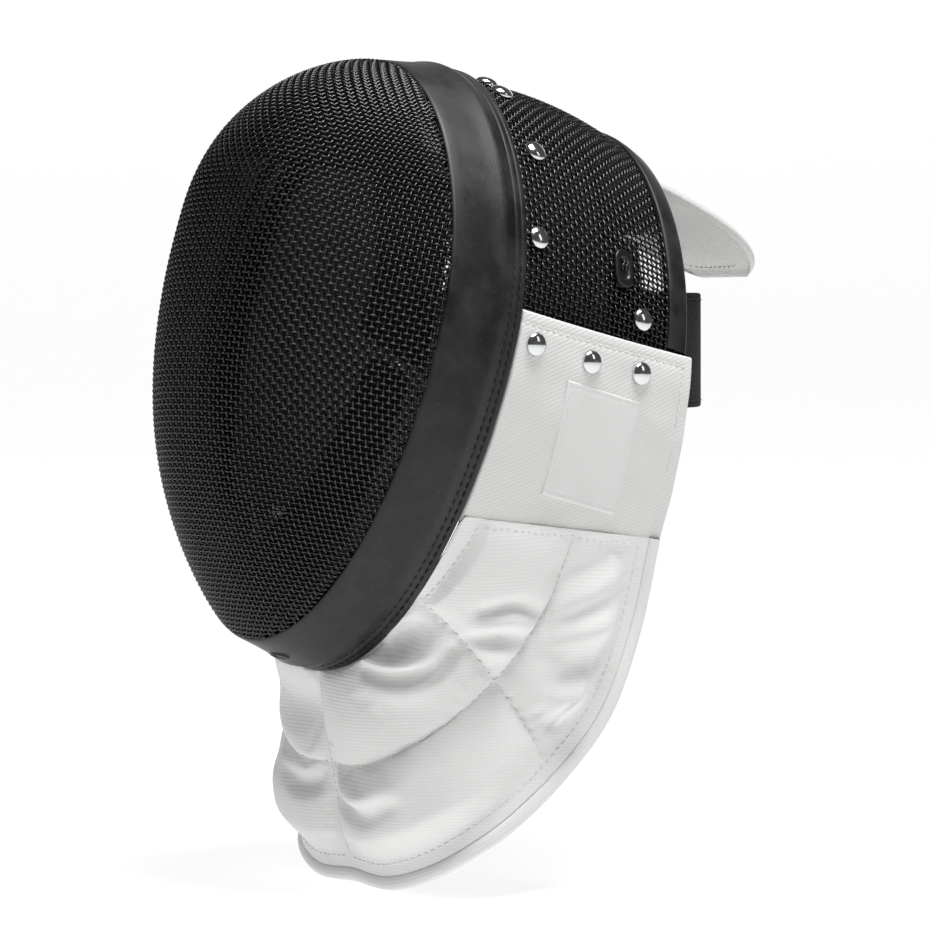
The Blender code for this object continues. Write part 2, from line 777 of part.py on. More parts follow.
def make_rivets(shade, side_mesh, flaps, strap, lining, tongue, parent):
    strap_layer = STRAP_WALL + STRAP_PLAY + 2 * CLEARANCE
    grips = {
        "mesh": MESH_WALL,
        "flap": MESH_WALL + FLAP_GAP + FLAP_WALL,
        "mesh and strap": MESH_WALL + strap_layer,
        "flap and strap": MESH_WALL + FLAP_GAP + FLAP_WALL + strap_layer,
        "tongue": TONGUE_INSET + TONGUE_WALL + TONGUE_PLAY,
    }
    meshes = {key: rivet_mesh("rivet", grip, shade) for key, grip in grips.items()}
    holes = {"mesh": [], "left": [], "right": [], "strap": [], "tongue": []}
    for name, side in (("left", 1), ("right", -1)):
        for number, row in enumerate(RIVETS, 1):
            inset = FLAP_INSET if "flap" in row["holds"] else 0.0
            matrix = side_pose(row["up"], row["back"], inset, side)
            add(f"{name}_rivet_{number}", meshes[row["holds"]], matrix, parent)
            holes["mesh"].append(matrix)
            if "flap" in row["holds"]:
                holes[name].append(matrix)
            if "strap" in row["holds"]:
                holes["strap"].append(matrix)
    for name, side in (("left", 1), ("right", -1)):
        turn = side * TONGUE_RIVET_SPACING / 2 / side_sizes(0)[0]
        x, up = outline(turn, *side_sizes(TONGUE_RIVET_BACK))
        matrix = side_pose(up, TONGUE_RIVET_BACK, 0.0, side)
        add(f"{name}_tongue_rivet", meshes["tongue"], matrix, parent)
        holes["mesh"].append(matrix)
        holes["tongue"].append(matrix)
    drill(side_mesh, holes["mesh"])
    drill(flaps["left"], holes["left"])
    drill(flaps["right"], holes["right"])
    drill(strap, holes["strap"])
    drill(lining, holes["tongue"])
    drill(tongue, holes["tongue"])


def clip_mesh(shade):
    """Flat plate with round ends."""
    bm = bmesh.new()
    radius = CLIP_WIDTH / 2
    straight = CLIP_HEIGHT / 2 - radius
    bottom = []
    for turn in angles(0, 2 * math.pi, 16)[:-1]:
        end = straight if turn < math.pi else -straight
        bottom.append(bm.verts.new((radius * math.cos(turn), radius * math.sin(turn) + end,
                                    CLEARANCE)))
    face = bm.faces.new(bottom)
    raised = bmesh.ops.extrude_face_region(bm, geom=[face])
    top = [v for v in raised["geom"] if isinstance(v, bmesh.types.BMVert)]
    bmesh.ops.translate(bm, verts=top, vec=(0, 0, CLIP_WALL))
    bmesh.ops.recalc_face_normals(bm, faces=bm.faces)
    mesh = bpy.data.meshes.new("clip")
    bm.to_mesh(mesh)
    bm.free()
    mesh.materials.append(shade)
    return mesh


def build():
    for body in list(bpy.data.objects):
        bpy.data.objects.remove(body, do_unlink=True)
    wire = material("black_coated_wire", (0.012, 0.012, 0.013), 0.45, 0.4)
    rubber = material("black_rubber", (0.015, 0.015, 0.016), 0.38)
    padding = material("grey_padding", (0.30, 0.30, 0.31), 0.9)
    canvas = material("white_canvas", (0.80, 0.80, 0.80), 0.85)
    label = material("white_woven_label", (0.84, 0.84, 0.84), 0.8)
    vinyl = material("white_vinyl", (0.78, 0.78, 0.78), 0.5)
    elastic = material("black_elastic", (0.014, 0.014, 0.015), 0.8)
    steel = material("polished_steel", (0.62, 0.62, 0.62), 0.15, 1.0)
    dark = material("black_painted_steel", (0.02, 0.02, 0.02), 0.4, 0.6)

    mask = bpy.data.objects.new("mask", None)
    bpy.context.collection.objects.link(mask)
    side_mesh = make_side_mesh(wire)
    flaps = {"left": make_flap("left_flap", 1, canvas),
             "right": make_flap("right_flap", -1, canvas)}
    lining = make_side_lining(padding)
    tongue = make_tongue(vinyl)
    strap = make_back_strap(elastic)
    bodies = [
        side_mesh, lining, tongue, strap, *flaps.values(),
        make_front_mesh(wire),
        make_front_trim(rubber),
        make_rear_trim(rubber),
        make_forehead_pad(padding),
        make_chin_pad(padding),
        make_bib(12, canvas),
        make_bib_binding(12, canvas),
        make_label("left_label", 1, label),
        make_label("right_label", -1, label),
    ]
    for body in bodies:
        body.parent = mask
    make_rivets(steel, side_mesh, flaps, strap, lining, tongue, mask)
    clip = clip_mesh(dark)
    for name, side in (("left_clip", 1), ("right_clip", -1)):
        add(name, clip, side_pose(CLIP_UP, CLIP_BACK, 0.0, side), mask)


build()
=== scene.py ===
# %% [markdown]
# # A fencing mask, dressed over its frame
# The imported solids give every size. Each piece below lies where its solid
# lies, and shows what the solid can't: woven wire, cloth, stitches, polish.

# %% Load the frame
import math

import bmesh
import bpy
import numpy as np
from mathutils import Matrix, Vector


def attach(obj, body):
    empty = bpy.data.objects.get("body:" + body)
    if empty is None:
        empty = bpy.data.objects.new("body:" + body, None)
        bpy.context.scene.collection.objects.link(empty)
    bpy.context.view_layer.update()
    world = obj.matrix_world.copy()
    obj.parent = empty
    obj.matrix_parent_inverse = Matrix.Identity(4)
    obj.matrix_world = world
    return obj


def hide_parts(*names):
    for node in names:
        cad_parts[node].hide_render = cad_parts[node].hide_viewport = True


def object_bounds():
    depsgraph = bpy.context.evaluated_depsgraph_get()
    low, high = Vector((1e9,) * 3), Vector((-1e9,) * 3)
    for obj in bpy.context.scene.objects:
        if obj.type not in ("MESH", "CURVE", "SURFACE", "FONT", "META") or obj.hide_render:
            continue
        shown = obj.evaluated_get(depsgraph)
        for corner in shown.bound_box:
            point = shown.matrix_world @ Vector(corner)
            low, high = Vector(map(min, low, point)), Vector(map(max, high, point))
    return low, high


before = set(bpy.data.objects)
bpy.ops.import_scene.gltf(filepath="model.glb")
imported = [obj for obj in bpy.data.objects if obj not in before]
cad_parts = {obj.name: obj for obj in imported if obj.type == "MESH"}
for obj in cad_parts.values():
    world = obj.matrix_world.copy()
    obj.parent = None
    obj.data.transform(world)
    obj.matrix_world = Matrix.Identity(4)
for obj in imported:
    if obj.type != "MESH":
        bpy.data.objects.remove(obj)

cad_box = [list(corner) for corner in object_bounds()]
print("frame box", cad_box)

# %% [markdown]
# ## The mask's own frame
# The rim of a mask is an egg-shaped ring that leans back as it is worn. Every
# curve is simplest beside that ring: x across, back behind its rear edge, up
# along its plane. place() then leans it and puts the origin at the head's seat.
# The sizes repeat the solids' own, in metres.

# %% Ring, band and shell
LEAN = math.radians(14.0)
CLEARANCE = 0.0003
RING_HALF_WIDTH, RING_ABOVE, RING_BELOW = 0.104, 0.128, 0.163
UPPER_ROUND, LOWER_ROUND = 1.75, 1.95
BAND_WIDTH, BAND_WALL = 0.037, 0.003
TAPER_SIDE, TAPER_TOP, TAPER_CHIN = 0.004, 0.007, 0.0065
SIDE_NARROWING, CROWN_DROP, CROWN_BULGE = 0.0045, 0.008, 0.0035
REAR_TOP, REAR_SIDE, REAR_EAR = 0.100, 0.1015, 0.105
MESH_WALL, LINING_WALL, WASHER_WALL = 0.002, 0.007, 0.0012
LINING_INSET = MESH_WALL + WASHER_WALL + 3 * CLEARANCE
TONGUE_WALL = 0.004
TONGUE_INSET = LINING_INSET + LINING_WALL + 5 * CLEARANCE
SEAT_BACK = 0.020


def outline(angle, half, above, below):
    """The ring's egg shape, the angle measured from its top."""
    lift = np.cos(angle)
    up = np.where(lift >= 0, above * np.abs(lift) ** (2 / UPPER_ROUND),
                  -below * np.abs(lift) ** (2 / LOWER_ROUND))
    return half * np.sin(angle), up


def half_width_at(up, half, above, below):
    share = np.where(up >= 0, np.clip(up / above, 0, 1) ** UPPER_ROUND,
                     np.clip(-up / below, 0, 1) ** LOWER_ROUND)
    return half * np.sqrt(1 - share)


def angle_at(up, above, below):
    if up >= 0:
        return math.acos((up / above) ** (UPPER_ROUND / 2))
    return math.pi - math.acos((-up / below) ** (LOWER_ROUND / 2))


def side_sizes(back, inset=0.0):
    """Half width, height above and depth below of the side shell."""
    share = np.maximum(back, 0) / REAR_EAR
    under = np.maximum(-np.asarray(back), 0) / BAND_WIDTH
    lap = BAND_WALL + CLEARANCE + inset
    half = RING_HALF_WIDTH - lap - SIDE_NARROWING * share ** 1.5 - TAPER_SIDE * under
    arch = CROWN_BULGE * np.sin(np.pi * np.minimum(share, 1)) - CROWN_DROP * share ** 3
    above = RING_ABOVE - lap + arch - TAPER_TOP * under
    return half, above, RING_BELOW - lap - TAPER_CHIN * under


def lean(x, back, up):
    x, back, up = np.broadcast_arrays(np.asarray(x, float), back, up)
    return np.stack([x, back * math.cos(LEAN) + up * math.sin(LEAN),
                     up * math.cos(LEAN) - back * math.sin(LEAN)], axis=-1)


SEAT = lean(0, SEAT_BACK, side_sizes(SEAT_BACK, TONGUE_INSET + TONGUE_WALL)[1])


def place(x, back, up):
    return lean(x, back, up) - SEAT


def side_point(angle, back, inset=0.0):
    x, up = outline(angle, *side_sizes(back, inset))
    return place(x, back, up)


def side_at(up, back, inset=0.0, side=1):
    return place(side * half_width_at(up, *side_sizes(back, inset)), back, up)


def rear_edge(angle):
    return REAR_SIDE + (REAR_TOP - REAR_SIDE) * np.maximum(np.cos(angle), 0)


def band_point(angle, share, inset):
    """On the band round the ring: share 0 is its rear edge, 1 its front."""
    x, up = outline(angle, RING_HALF_WIDTH - TAPER_SIDE * share - inset,
                    RING_ABOVE - TAPER_TOP * share - inset,
                    RING_BELOW - TAPER_CHIN * share - inset)
    return place(x, -BAND_WIDTH * share, up)


print("seat of the head at", SEAT)

# %% [markdown]
# ## Helpers for meshes
# Every piece is a grid of points turned into quads, so one function makes them
# all, and carries a cloth map in metres so that a weave keeps its real size.

# %% Grids to pieces
DOUBLED = 2e-6


def make_piece(name, points, quads, finish, cloth=None):
    """One piece of quads, with a cloth map in metres for its points."""
    mesh = bpy.data.meshes.new(name)
    points = np.asarray(points, float).reshape(-1, 3)
    quads = np.asarray(quads, int).reshape(-1, 4)
    mesh.vertices.add(len(points))
    mesh.vertices.foreach_set("co", points.ravel())
    mesh.loops.add(quads.size)
    mesh.loops.foreach_set("vertex_index", quads.ravel())
    mesh.polygons.add(len(quads))
    mesh.polygons.foreach_set("loop_start", np.arange(0, quads.size, 4))
    mesh.update(calc_edges=True)
    if cloth is not None:
        layer = mesh.uv_layers.new(name="cloth")
        spots = np.asarray(cloth, float).reshape(-1, 2)
        layer.data.foreach_set("uv", spots[quads.ravel()].ravel())
    mesh.validate()
    mesh.shade_smooth()
    mesh.materials.append(finish)
    piece = bpy.data.objects.new(name, mesh)
    bpy.context.collection.objects.link(piece)
    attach(piece, "root")
    return piece


def weld(piece, angle=60):
    """Merge doubled points, turn faces outwards, keep hard edges hard."""
    bm = bmesh.new()
    bm.from_mesh(piece.data)
    bmesh.ops.remove_doubles(bm, verts=bm.verts, dist=DOUBLED)
    bmesh.ops.recalc_face_normals(bm, faces=bm.faces)
    bm.to_mesh(piece.data)
    bm.free()
    piece.data.shade_smooth()
    piece.data.set_sharp_from_angle(angle=math.radians(angle))
    return piece


def grid_quads(rows, columns, start=0, around=False):
    """Quads over a grid of points numbered row by row."""
    i, j = np.meshgrid(np.arange(rows - 1), np.arange(columns if around else columns - 1),
                       indexing="ij")
    k = (j + 1) % columns
    quads = np.stack([i * columns + j, i * columns + k,
                      (i + 1) * columns + k, (i + 1) * columns + j], axis=-1)
    return quads.reshape(-1, 4) + start


def cloth_map(grid):
    """Run along each row and down each column of a grid, in metres."""
    across = np.linalg.norm(np.diff(grid, axis=1), axis=-1)
    down = np.linalg.norm(np.diff(grid, axis=0), axis=-1)
    u = np.concatenate([np.zeros((len(grid), 1)), np.cumsum(across, axis=1)], axis=1)
    v = np.concatenate([np.zeros((1, grid.shape[1])), np.cumsum(down, axis=0)], axis=0)
    return np.stack([u - u.mean(axis=1, keepdims=True), v], axis=-1)


def normals_of(grid, flip=1):
    across = np.gradient(grid, axis=1)
    down = np.gradient(grid, axis=0)
    normal = flip * np.cross(across, -down)
    return normal / np.maximum(np.linalg.norm(normal, axis=-1, keepdims=True), 1e-12)


def slab(name, outer, inner, finish, angle=60, laid=None):
    """Closed sheet between two grids of points that share their layout."""
    rows, columns = outer.shape[:2]
    cloth = cloth_map(outer) if laid is None else laid
    quads = [grid_quads(rows, columns), grid_quads(rows, columns, rows * columns)[:, ::-1]]
    index = np.arange(2 * rows * columns).reshape(2, rows, columns)
    for edge in (index[:, 0], index[:, -1, ::-1], index[:, ::-1, 0], index[:, :, -1]):
        quads.append(np.stack([edge[0, 1:], edge[0, :-1], edge[1, :-1], edge[1, 1:]], axis=-1))
    piece = make_piece(name, np.concatenate([outer.reshape(-1, 3), inner.reshape(-1, 3)]),
                       np.concatenate(quads), finish,
                       np.concatenate([cloth.reshape(-1, 2)] * 2))
    return weld(piece, angle)


def rimmed(count, rim):
    """Shares from 0 to 1, with extra ones to round off both ends."""
    curl = rim * (1 - np.cos(np.linspace(0, math.pi / 2, 6)))[:-1]
    return np.concatenate([curl, np.linspace(rim, 1 - rim, count), 1 - curl[::-1]])


def rounded(share, rim):
    """Height of a rounded edge: 0 at both ends, 1 beyond the rim."""
    inward = np.clip(np.minimum(share, 1 - share) / rim, 0, 1)
    return np.sqrt(np.clip(1 - (1 - inward) ** 2, 0, 1))


def smooth_step(value, low, high):
    t = np.clip((value - low) / (high - low), 0, 1)
    return t * t * (3 - 2 * t)


def smooth_through(points, count):
    """Points spread evenly on a Catmull-Rom curve through the given ones."""
    points = [np.array(p, float) for p in points]
    padded = [2 * points[0] - points[1]] + points + [2 * points[-1] - points[-2]]
    fine = []
    for a, b, c, d in zip(padded, padded[1:], padded[2:], padded[3:]):
        for t in np.linspace(0, 1, 24, endpoint=False):
            fine.append(0.5 * (2 * b + (c - a) * t + (2 * a - 5 * b + 4 * c - d) * t ** 2
                               + (3 * b - a - 3 * c + d) * t ** 3))
    return evenly(np.array(fine + [points[-1]]), count)


def run_of(line):
    """Distance along a line at each of its points."""
    return np.concatenate([[0], np.cumsum(np.linalg.norm(np.diff(line, axis=0), axis=1))])


def at_run(where, run, line):
    """Points of a line at given distances along it."""
    return np.stack([np.interp(where, run, column) for column in line.T], axis=-1)


def evenly(line, count):
    """The same line with its points spread evenly along it."""
    run = run_of(line)
    return at_run(np.linspace(0, run[-1], count), run, line)


def unit(vectors):
    return vectors / np.linalg.norm(vectors, axis=-1, keepdims=True)


def full_turn(count):
    """Angles spread evenly round a closed loop."""
    return np.linspace(0, 2 * math.pi, count + 1)[:-1]


print("helpers ready")

# %% [markdown]
# ## Helpers for finishes
# A finish starts from one Principled shader, whose fixed numbers sit on its own
# sockets. Textures only add what varies over the surface: weave, grain, wear.

# %% Colours and nodes
def linear(code):
    """An sRGB hex colour as the linear one that a shader needs."""
    parts = [int(code[i:i + 2], 16) / 255 for i in (1, 3, 5)]
    return tuple(c / 12.92 if c <= 0.04045 else ((c + 0.055) / 1.055) ** 2.4
                 for c in parts) + (1.0,)


def node(tree, kind, sockets=None, **settings):
    """Add one node, with its settings, values and links."""
    made = tree.nodes.new(kind)
    for name, value in settings.items():
        setattr(made, name, value)
    for name, value in (sockets or {}).items():
        if isinstance(value, bpy.types.NodeSocket):
            tree.links.new(value, made.inputs[name])
        else:
            made.inputs[name].default_value = value
    return made


def start_finish(name, colour, roughness, **fixed):
    """A material with its Principled shader set; returns both and the tree."""
    made = bpy.data.materials.new(name)
    made.use_nodes = True
    shader = made.node_tree.nodes["Principled BSDF"]
    shader.inputs["Base Color"].default_value = linear(colour)
    shader.inputs["Roughness"].default_value = roughness
    for socket, value in fixed.items():
        shader.inputs[socket.replace("_", " ")].default_value = value
    made.diffuse_color = linear(colour)
    return made, made.node_tree, shader


def wave_scale(pitch):
    """Wave Texture's scale for bands that repeat every pitch, in metres."""
    return 2 * math.pi / (20 * pitch)


def relief(tree, shader, height, depth):
    """Bump of a height socket, its depth in metres."""
    bump = node(tree, "ShaderNodeBump", {"Height": height, "Distance": depth, "Strength": 1.0})
    tree.links.new(bump.outputs[0], shader.inputs["Normal"])


def tint(tree, shader, mask, light, dark):
    """Colour that goes from dark to light with a mask."""
    mixed = node(tree, "ShaderNodeMix", {0: mask, 6: linear(dark), 7: linear(light)},
                 data_type="RGBA")
    tree.links.new(mixed.outputs[2], shader.inputs["Base Color"])


def spread(tree, value, low, high, start=0.0, end=1.0):
    """A socket's values from low to high, spread from start to end."""
    made = node(tree, "ShaderNodeMapRange", {"Value": value, "From Min": low, "From Max": high,
                                             "To Min": start, "To Max": end})
    return made.outputs[0]


def speckle(tree, scale, **sockets):
    """Noise of a given scale over the piece's own coordinates."""
    place_of = node(tree, "ShaderNodeTexCoord").outputs["Object"]
    made = node(tree, "ShaderNodeTexNoise", {"Vector": place_of, "Scale": scale, **sockets})
    return made.outputs["Fac"]


# %% [markdown]
# ## Enamelled steel wire
# The meshes are woven from stainless wire a little over 1 mm thick, then
# dipped and baked black.
# The enamel is glossy in the hollows. The outward top of each knuckle is painted
# grey: partly enamel rubbed thin where the wires cross, partly a painted
# highlight. The weave stores that height as "knuckle".

# %% Wire finish
enamel, tree, shader = start_finish("baked_black_enamel_on_wire", "#060607", 0.24,
                                    Specular_IOR_Level=0.5)
knuckle = node(tree, "ShaderNodeAttribute", attribute_name="knuckle", attribute_type="GEOMETRY")
spots = node(tree, "ShaderNodeTexNoise", {"Scale": 260.0, "Detail": 3.0})
knuckle_wear_and_highlight = node(tree, "ShaderNodeMath", {0: knuckle.outputs["Fac"], 1: spots.outputs["Fac"]},
            operation="MULTIPLY")
# Grey on the knuckles' outward tops: part wear, part painted highlight
tint(tree, shader, spread(tree, knuckle_wear_and_highlight.outputs[0], 0.30, 0.66), "#86878b", "#060607")
print("finish", enamel.name)

# %% [markdown]
# ## Moulded rubber
# The band and the rear binding are black neoprene, pressed in a mould: a fine
# sandy grain, a soft sheen, and dust-grey scuffs where the mask is handled.

# %% Rubber finish
rubber, tree, shader = start_finish("moulded_black_neoprene", "#0f0f10", 0.42,
                                    Specular_IOR_Level=0.42)
grain = speckle(tree, 1500.0, Detail=2.0)
cloud = speckle(tree, 45.0, Detail=5.0, Roughness=0.65)
specks = speckle(tree, 620.0, Detail=1.0)
soiled = node(tree, "ShaderNodeMath", {0: spread(tree, cloud, 0.42, 0.72),
                                       1: spread(tree, specks, 0.71, 0.76, 0.0, 1.6)},
              operation="ADD")
tint(tree, shader, soiled.outputs[0], "#2a2a2c", "#0c0c0d")
tree.links.new(spread(tree, cloud, 0.3, 0.7, 0.38, 0.56), shader.inputs["Roughness"])
relief(tree, shader, grain, 0.00006)
print("finish", rubber.name)

# %% [markdown]
# ## Cloths
# The cloths and threads share one idea: bands of a Wave Texture along the cloth
# map are the ribs of a weave, two crossed sets are its warp and weft. Real
# canvas ribs lie about 0.5 mm apart; they are drawn at 1.6 to 1.8 mm so that
# they show at all.

# %% Cloth finishes
def woven_finish(name, light, dark, pitch, turn, depth, roughness=0.85, sheen=0.15,
                 crossed=0.4, soil=30.0):
    made, tree, shader = start_finish(name, light, roughness, Sheen_Weight=sheen,
                                      Sheen_Roughness=0.5, Specular_IOR_Level=0.25)
    run = node(tree, "ShaderNodeUVMap", uv_map="cloth")
    turned = node(tree, "ShaderNodeMapping", {"Vector": run.outputs[0],
                                              "Rotation": (0, 0, math.radians(turn))})
    waver = node(tree, "ShaderNodeTexNoise", {"Vector": run.outputs[0], "Scale": 400.0})
    ribs = node(tree, "ShaderNodeTexWave", {"Vector": turned.outputs[0],
                                            "Scale": wave_scale(pitch), "Distortion": 0.6,
                                            "Detail Scale": 60.0}, bands_direction="X")
    threads = node(tree, "ShaderNodeTexWave", {"Vector": turned.outputs[0],
                                               "Scale": wave_scale(pitch * 0.8),
                                               "Distortion": 0.6, "Detail Scale": 60.0},
                   bands_direction="Y")
    crossing = node(tree, "ShaderNodeMath", {0: threads.outputs["Fac"], 1: crossed},
                    operation="MULTIPLY")
    weave = node(tree, "ShaderNodeMath", {0: ribs.outputs["Fac"], 1: crossing.outputs[0]},
                 operation="ADD")
    fuzz = node(tree, "ShaderNodeMath", {0: waver.outputs["Fac"], 1: weave.outputs[0]},
                operation="ADD")
    relief(tree, shader, fuzz.outputs[0], depth)
    # Lighter on the ribs' crests and darker in the hollows between them: painted shade, with the
    # noise adding blotches of random tone
    stain = speckle(tree, soil, Detail=4.0)
    between = node(tree, "ShaderNodeMath", {0: weave.outputs[0], 1: stain}, operation="MULTIPLY")
    tint(tree, shader, spread(tree, between.outputs[0], 0.05, 0.65), light, dark)
    print("finish", name)
    return made


canvas = woven_finish("bleached_cotton_twill", "#e8e8e6", "#dededc", 0.00175, 122, 0.00008,
                      crossed=0.15)
quilting = woven_finish("ribbed_polyester_quilting", "#efefee", "#e9e9e8", 0.0016, 90, 0.00006,
                        crossed=0.3)
satin = woven_finish("white_satin_ribbon", "#ececeb", "#e0e0df", 0.0009, 90, 0.00006, 0.6, 0.1)
elastic = woven_finish("knitted_black_elastic", "#0d0d0e", "#050506", 0.0022, 90, 0.00035,
                        0.8, 0.02)
# Grey tricot darkened well below its own grey: painted shade for the inside of the mask, seen
# through the wires
dark_tricot_for_shade = woven_finish("grey_tricot_darkened_as_shade", "#3c3d41", "#2c2d30", 0.0016, 20, 0.0001, 0.95, 0.1)
thread = woven_finish("white_polyester_thread", "#eeeeec", "#dadad8", 0.0008, 45, 0.00005)
black_thread = woven_finish("black_polyester_thread", "#2b2b2c", "#161617", 0.0008, 45, 0.00005)

# %% [markdown]
# ## Vinyl and metals
# The tongue is covered in white PVC-coated cloth with an embossed leather
# grain: round cells about 1.5 mm wide. Its colour is toned down to grey-white and
# is darker in the grain's creases: painted shade. The rivets are polished
# stainless steel and the clips are spring steel, painted black.

# %% Vinyl, steel and paint
vinyl, tree, shader = start_finish("embossed_white_vinyl_with_painted_shade", "#f0f0ee", 0.42, Specular_IOR_Level=0.5)
run = node(tree, "ShaderNodeUVMap", uv_map="cloth")
cells = node(tree, "ShaderNodeTexVoronoi", {"Vector": run.outputs[0], "Scale": 650.0},
             feature="DISTANCE_TO_EDGE")
crease_relief_and_shade = spread(tree, cells.outputs["Distance"], 0.0, 0.18)
relief(tree, shader, crease_relief_and_shade, 0.00012)
# Grey-white, darker still in the creases: painted shade on a white tongue
tint(tree, shader, crease_relief_and_shade, "#d9d9d7", "#c6c6c3")
print("finish", vinyl.name)

steel, tree, shader = start_finish("polished_stainless_steel", "#d8d9da", 0.1, Metallic=1.0)
smear = speckle(tree, 500.0, Detail=4.0)
tree.links.new(spread(tree, smear, 0.3, 0.8, 0.07, 0.24), shader.inputs["Roughness"])
print("finish", steel.name)

paint, tree, shader = start_finish("black_paint_on_spring_steel", "#151516", 0.32)
smear = speckle(tree, 900.0, Detail=3.0)
tint(tree, shader, smear, "#1d1d1f", "#0d0d0e")
relief(tree, shader, smear, 0.00004)
print("finish", paint.name)

# %% [markdown]
# ## Woven wire
# A mask's mesh is a flat plain weave, pressed over a former. The wires keep
# their spacing and the square cells shear into diamonds where the dome curves
# both ways. A fishnet does the same: each new crossing lies one pitch from two
# crossings already laid. Each wire then bends over and under in turn.

# %% Sweep crimped wires
# Shares of a wire's thickness: how far it bends off the middle, and its radius
CRIMP_SHARE, RADIUS_SHARE = 0.46, 0.56


def wires(name, runs, radius, finish, sides=4):
    """Tubes along many runs of (points, normals, heights)."""
    turns = np.arange(sides) * 2 * math.pi / sides
    points, quads, worn_and_highlit_tops, start = [], [], [], 0
    for line, normal, height in runs:
        ahead = unit(np.gradient(line, axis=0))
        across = unit(np.cross(ahead, normal))
        upright = np.cross(across, ahead)
        ring = (upright[:, None] * np.cos(turns)[None, :, None]
                + across[:, None] * np.sin(turns)[None, :, None])
        points.append((line[:, None] + radius * ring).reshape(-1, 3))
        # Outward top of each knuckle, for the enamel's grey: part wear, part painted highlight
        worn_and_highlit_tops.append((np.clip(height, 0, 1)[:, None]
                         * np.clip(np.cos(turns), 0, 1)[None]).ravel())
        quads.append(grid_quads(len(line), sides, start, around=True))
        start += len(line) * sides
    piece = make_piece(name, np.concatenate(points), np.concatenate(quads), finish)
    mark = piece.data.attributes.new("knuckle", "FLOAT", "POINT")
    mark.data.foreach_set("value", np.concatenate(worn_and_highlit_tops))
    print(name, "wires", len(runs), "triangles", 2 * len(piece.data.polygons))
    return piece


def crimp(nodes, normals, first, height):
    """Samples of one wire at its crossings and halfway between them."""
    count = len(nodes)
    padded = np.concatenate([2 * nodes[:1] - nodes[1:2], nodes, 2 * nodes[-1:] - nodes[-2:-1]])
    middle = (9 * (padded[1:-2] + padded[2:-1]) - padded[:-3] - padded[3:]) / 16
    line = np.empty((2 * count - 1, 3))
    line[0::2], line[1::2] = nodes, middle
    normal = np.empty_like(line)
    normal[0::2], normal[1::2] = normals, normals[:-1] + normals[1:]
    normal /= np.linalg.norm(normal, axis=1, keepdims=True)
    rise = np.zeros(len(line))
    rise[0::2] = np.where((np.arange(count) + first) % 2 == 0, 1.0, -1.0)
    return line + normal * (rise * height)[:, None], normal, rise


# %% [markdown]
# ## Face mesh
# The face is pressed into one deep dome. Its former is a formula: a depth that
# falls from the apex to the rim, at its own pace over brow, chin and sides. The
# net is then laid over it crossing by crossing, from two axes outwards.

# %% The face's dome
FACE_DEPTH, FACE_APEX, FACE_ROUND = 0.0695, 0.033, 2.36
FACE_BROW, FACE_BROW_EASE, FACE_CHIN = 2.18, 0.69, 3.06
FACE_LAP, FACE_STEP, FACE_SKIRT = 0.0005, 0.002, 0.015


def rim_sizes(inset):
    lap = FACE_LAP + inset
    return (RING_HALF_WIDTH - TAPER_SIDE - lap, RING_ABOVE - TAPER_TOP - lap,
            RING_BELOW - TAPER_CHIN - lap)


def face_depth(x, up, inset):
    """How far the face mesh stands in front of its rim."""
    half, above, below = rim_sizes(inset)
    brow = np.clip((up - FACE_APEX) / (above - FACE_APEX), 0, 1)
    chin = np.clip((FACE_APEX - up) / (FACE_APEX + below), 0, 1)
    height = np.where(up >= FACE_APEX, (1 - brow ** FACE_BROW) ** FACE_BROW_EASE,
                      1 - chin ** FACE_CHIN)
    width = np.maximum(half_width_at(up, half, above, below), 1e-6)
    side = np.clip(np.abs(x) / width, 0, 1)
    return (FACE_DEPTH - inset) * height * (1 - side ** FACE_ROUND)


def face_point(x, up, inset):
    return place(x, -BAND_WIDTH - FACE_STEP - face_depth(x, up, inset), up)


WIRE_INSET = MESH_WALL / 2
# How far back the net's surface runs on past the rim, for each share beyond it
RIM_RUN_ON = 0.16
rim_angles = np.linspace(-math.pi, math.pi, 1441)
rim_x, rim_up = outline(rim_angles, *rim_sizes(WIRE_INSET))
rim_turns = np.arctan2(rim_x, rim_up - FACE_APEX)
rim_turns[0], rim_turns[-1] = -math.pi, math.pi
rim_radii = np.hypot(rim_x, rim_up - FACE_APEX)


def face_share(x, up):
    """Way from the apex to the rim, 1 at the rim."""
    turn = np.arctan2(x, up - FACE_APEX)
    return np.hypot(x, up - FACE_APEX) / np.interp(turn, rim_turns, rim_radii)


def dome(x, up):
    """The dome's mid surface beside the ring, carried on past its rim."""
    beyond = np.maximum(face_share(x, up) - 1, 0)
    back = -BAND_WIDTH - FACE_STEP - face_depth(x, up, WIRE_INSET) + RIM_RUN_ON * beyond
    return np.stack([x, back, up], axis=-1)


# %% Drape a fishnet over the dome
FACE_PITCH, FACE_WIRE = 0.00265, 0.00120
ACROSS, UPWARD, DOWNWARD = 78, 78, 104


def step_line(axis, sign, count):
    """Crossings one pitch apart along the net's own axis through the apex."""
    spots = np.zeros((count + 1, 2))
    spots[0] = 0, FACE_APEX
    for k in range(count):
        step = FACE_PITCH * 0.8
        for _ in range(14):
            trial = spots[k].copy()
            trial[axis] += sign * step
            gap = np.linalg.norm(dome(*trial) - dome(*spots[k]))
            step *= FACE_PITCH / gap
        spots[k + 1] = trial
    return spots


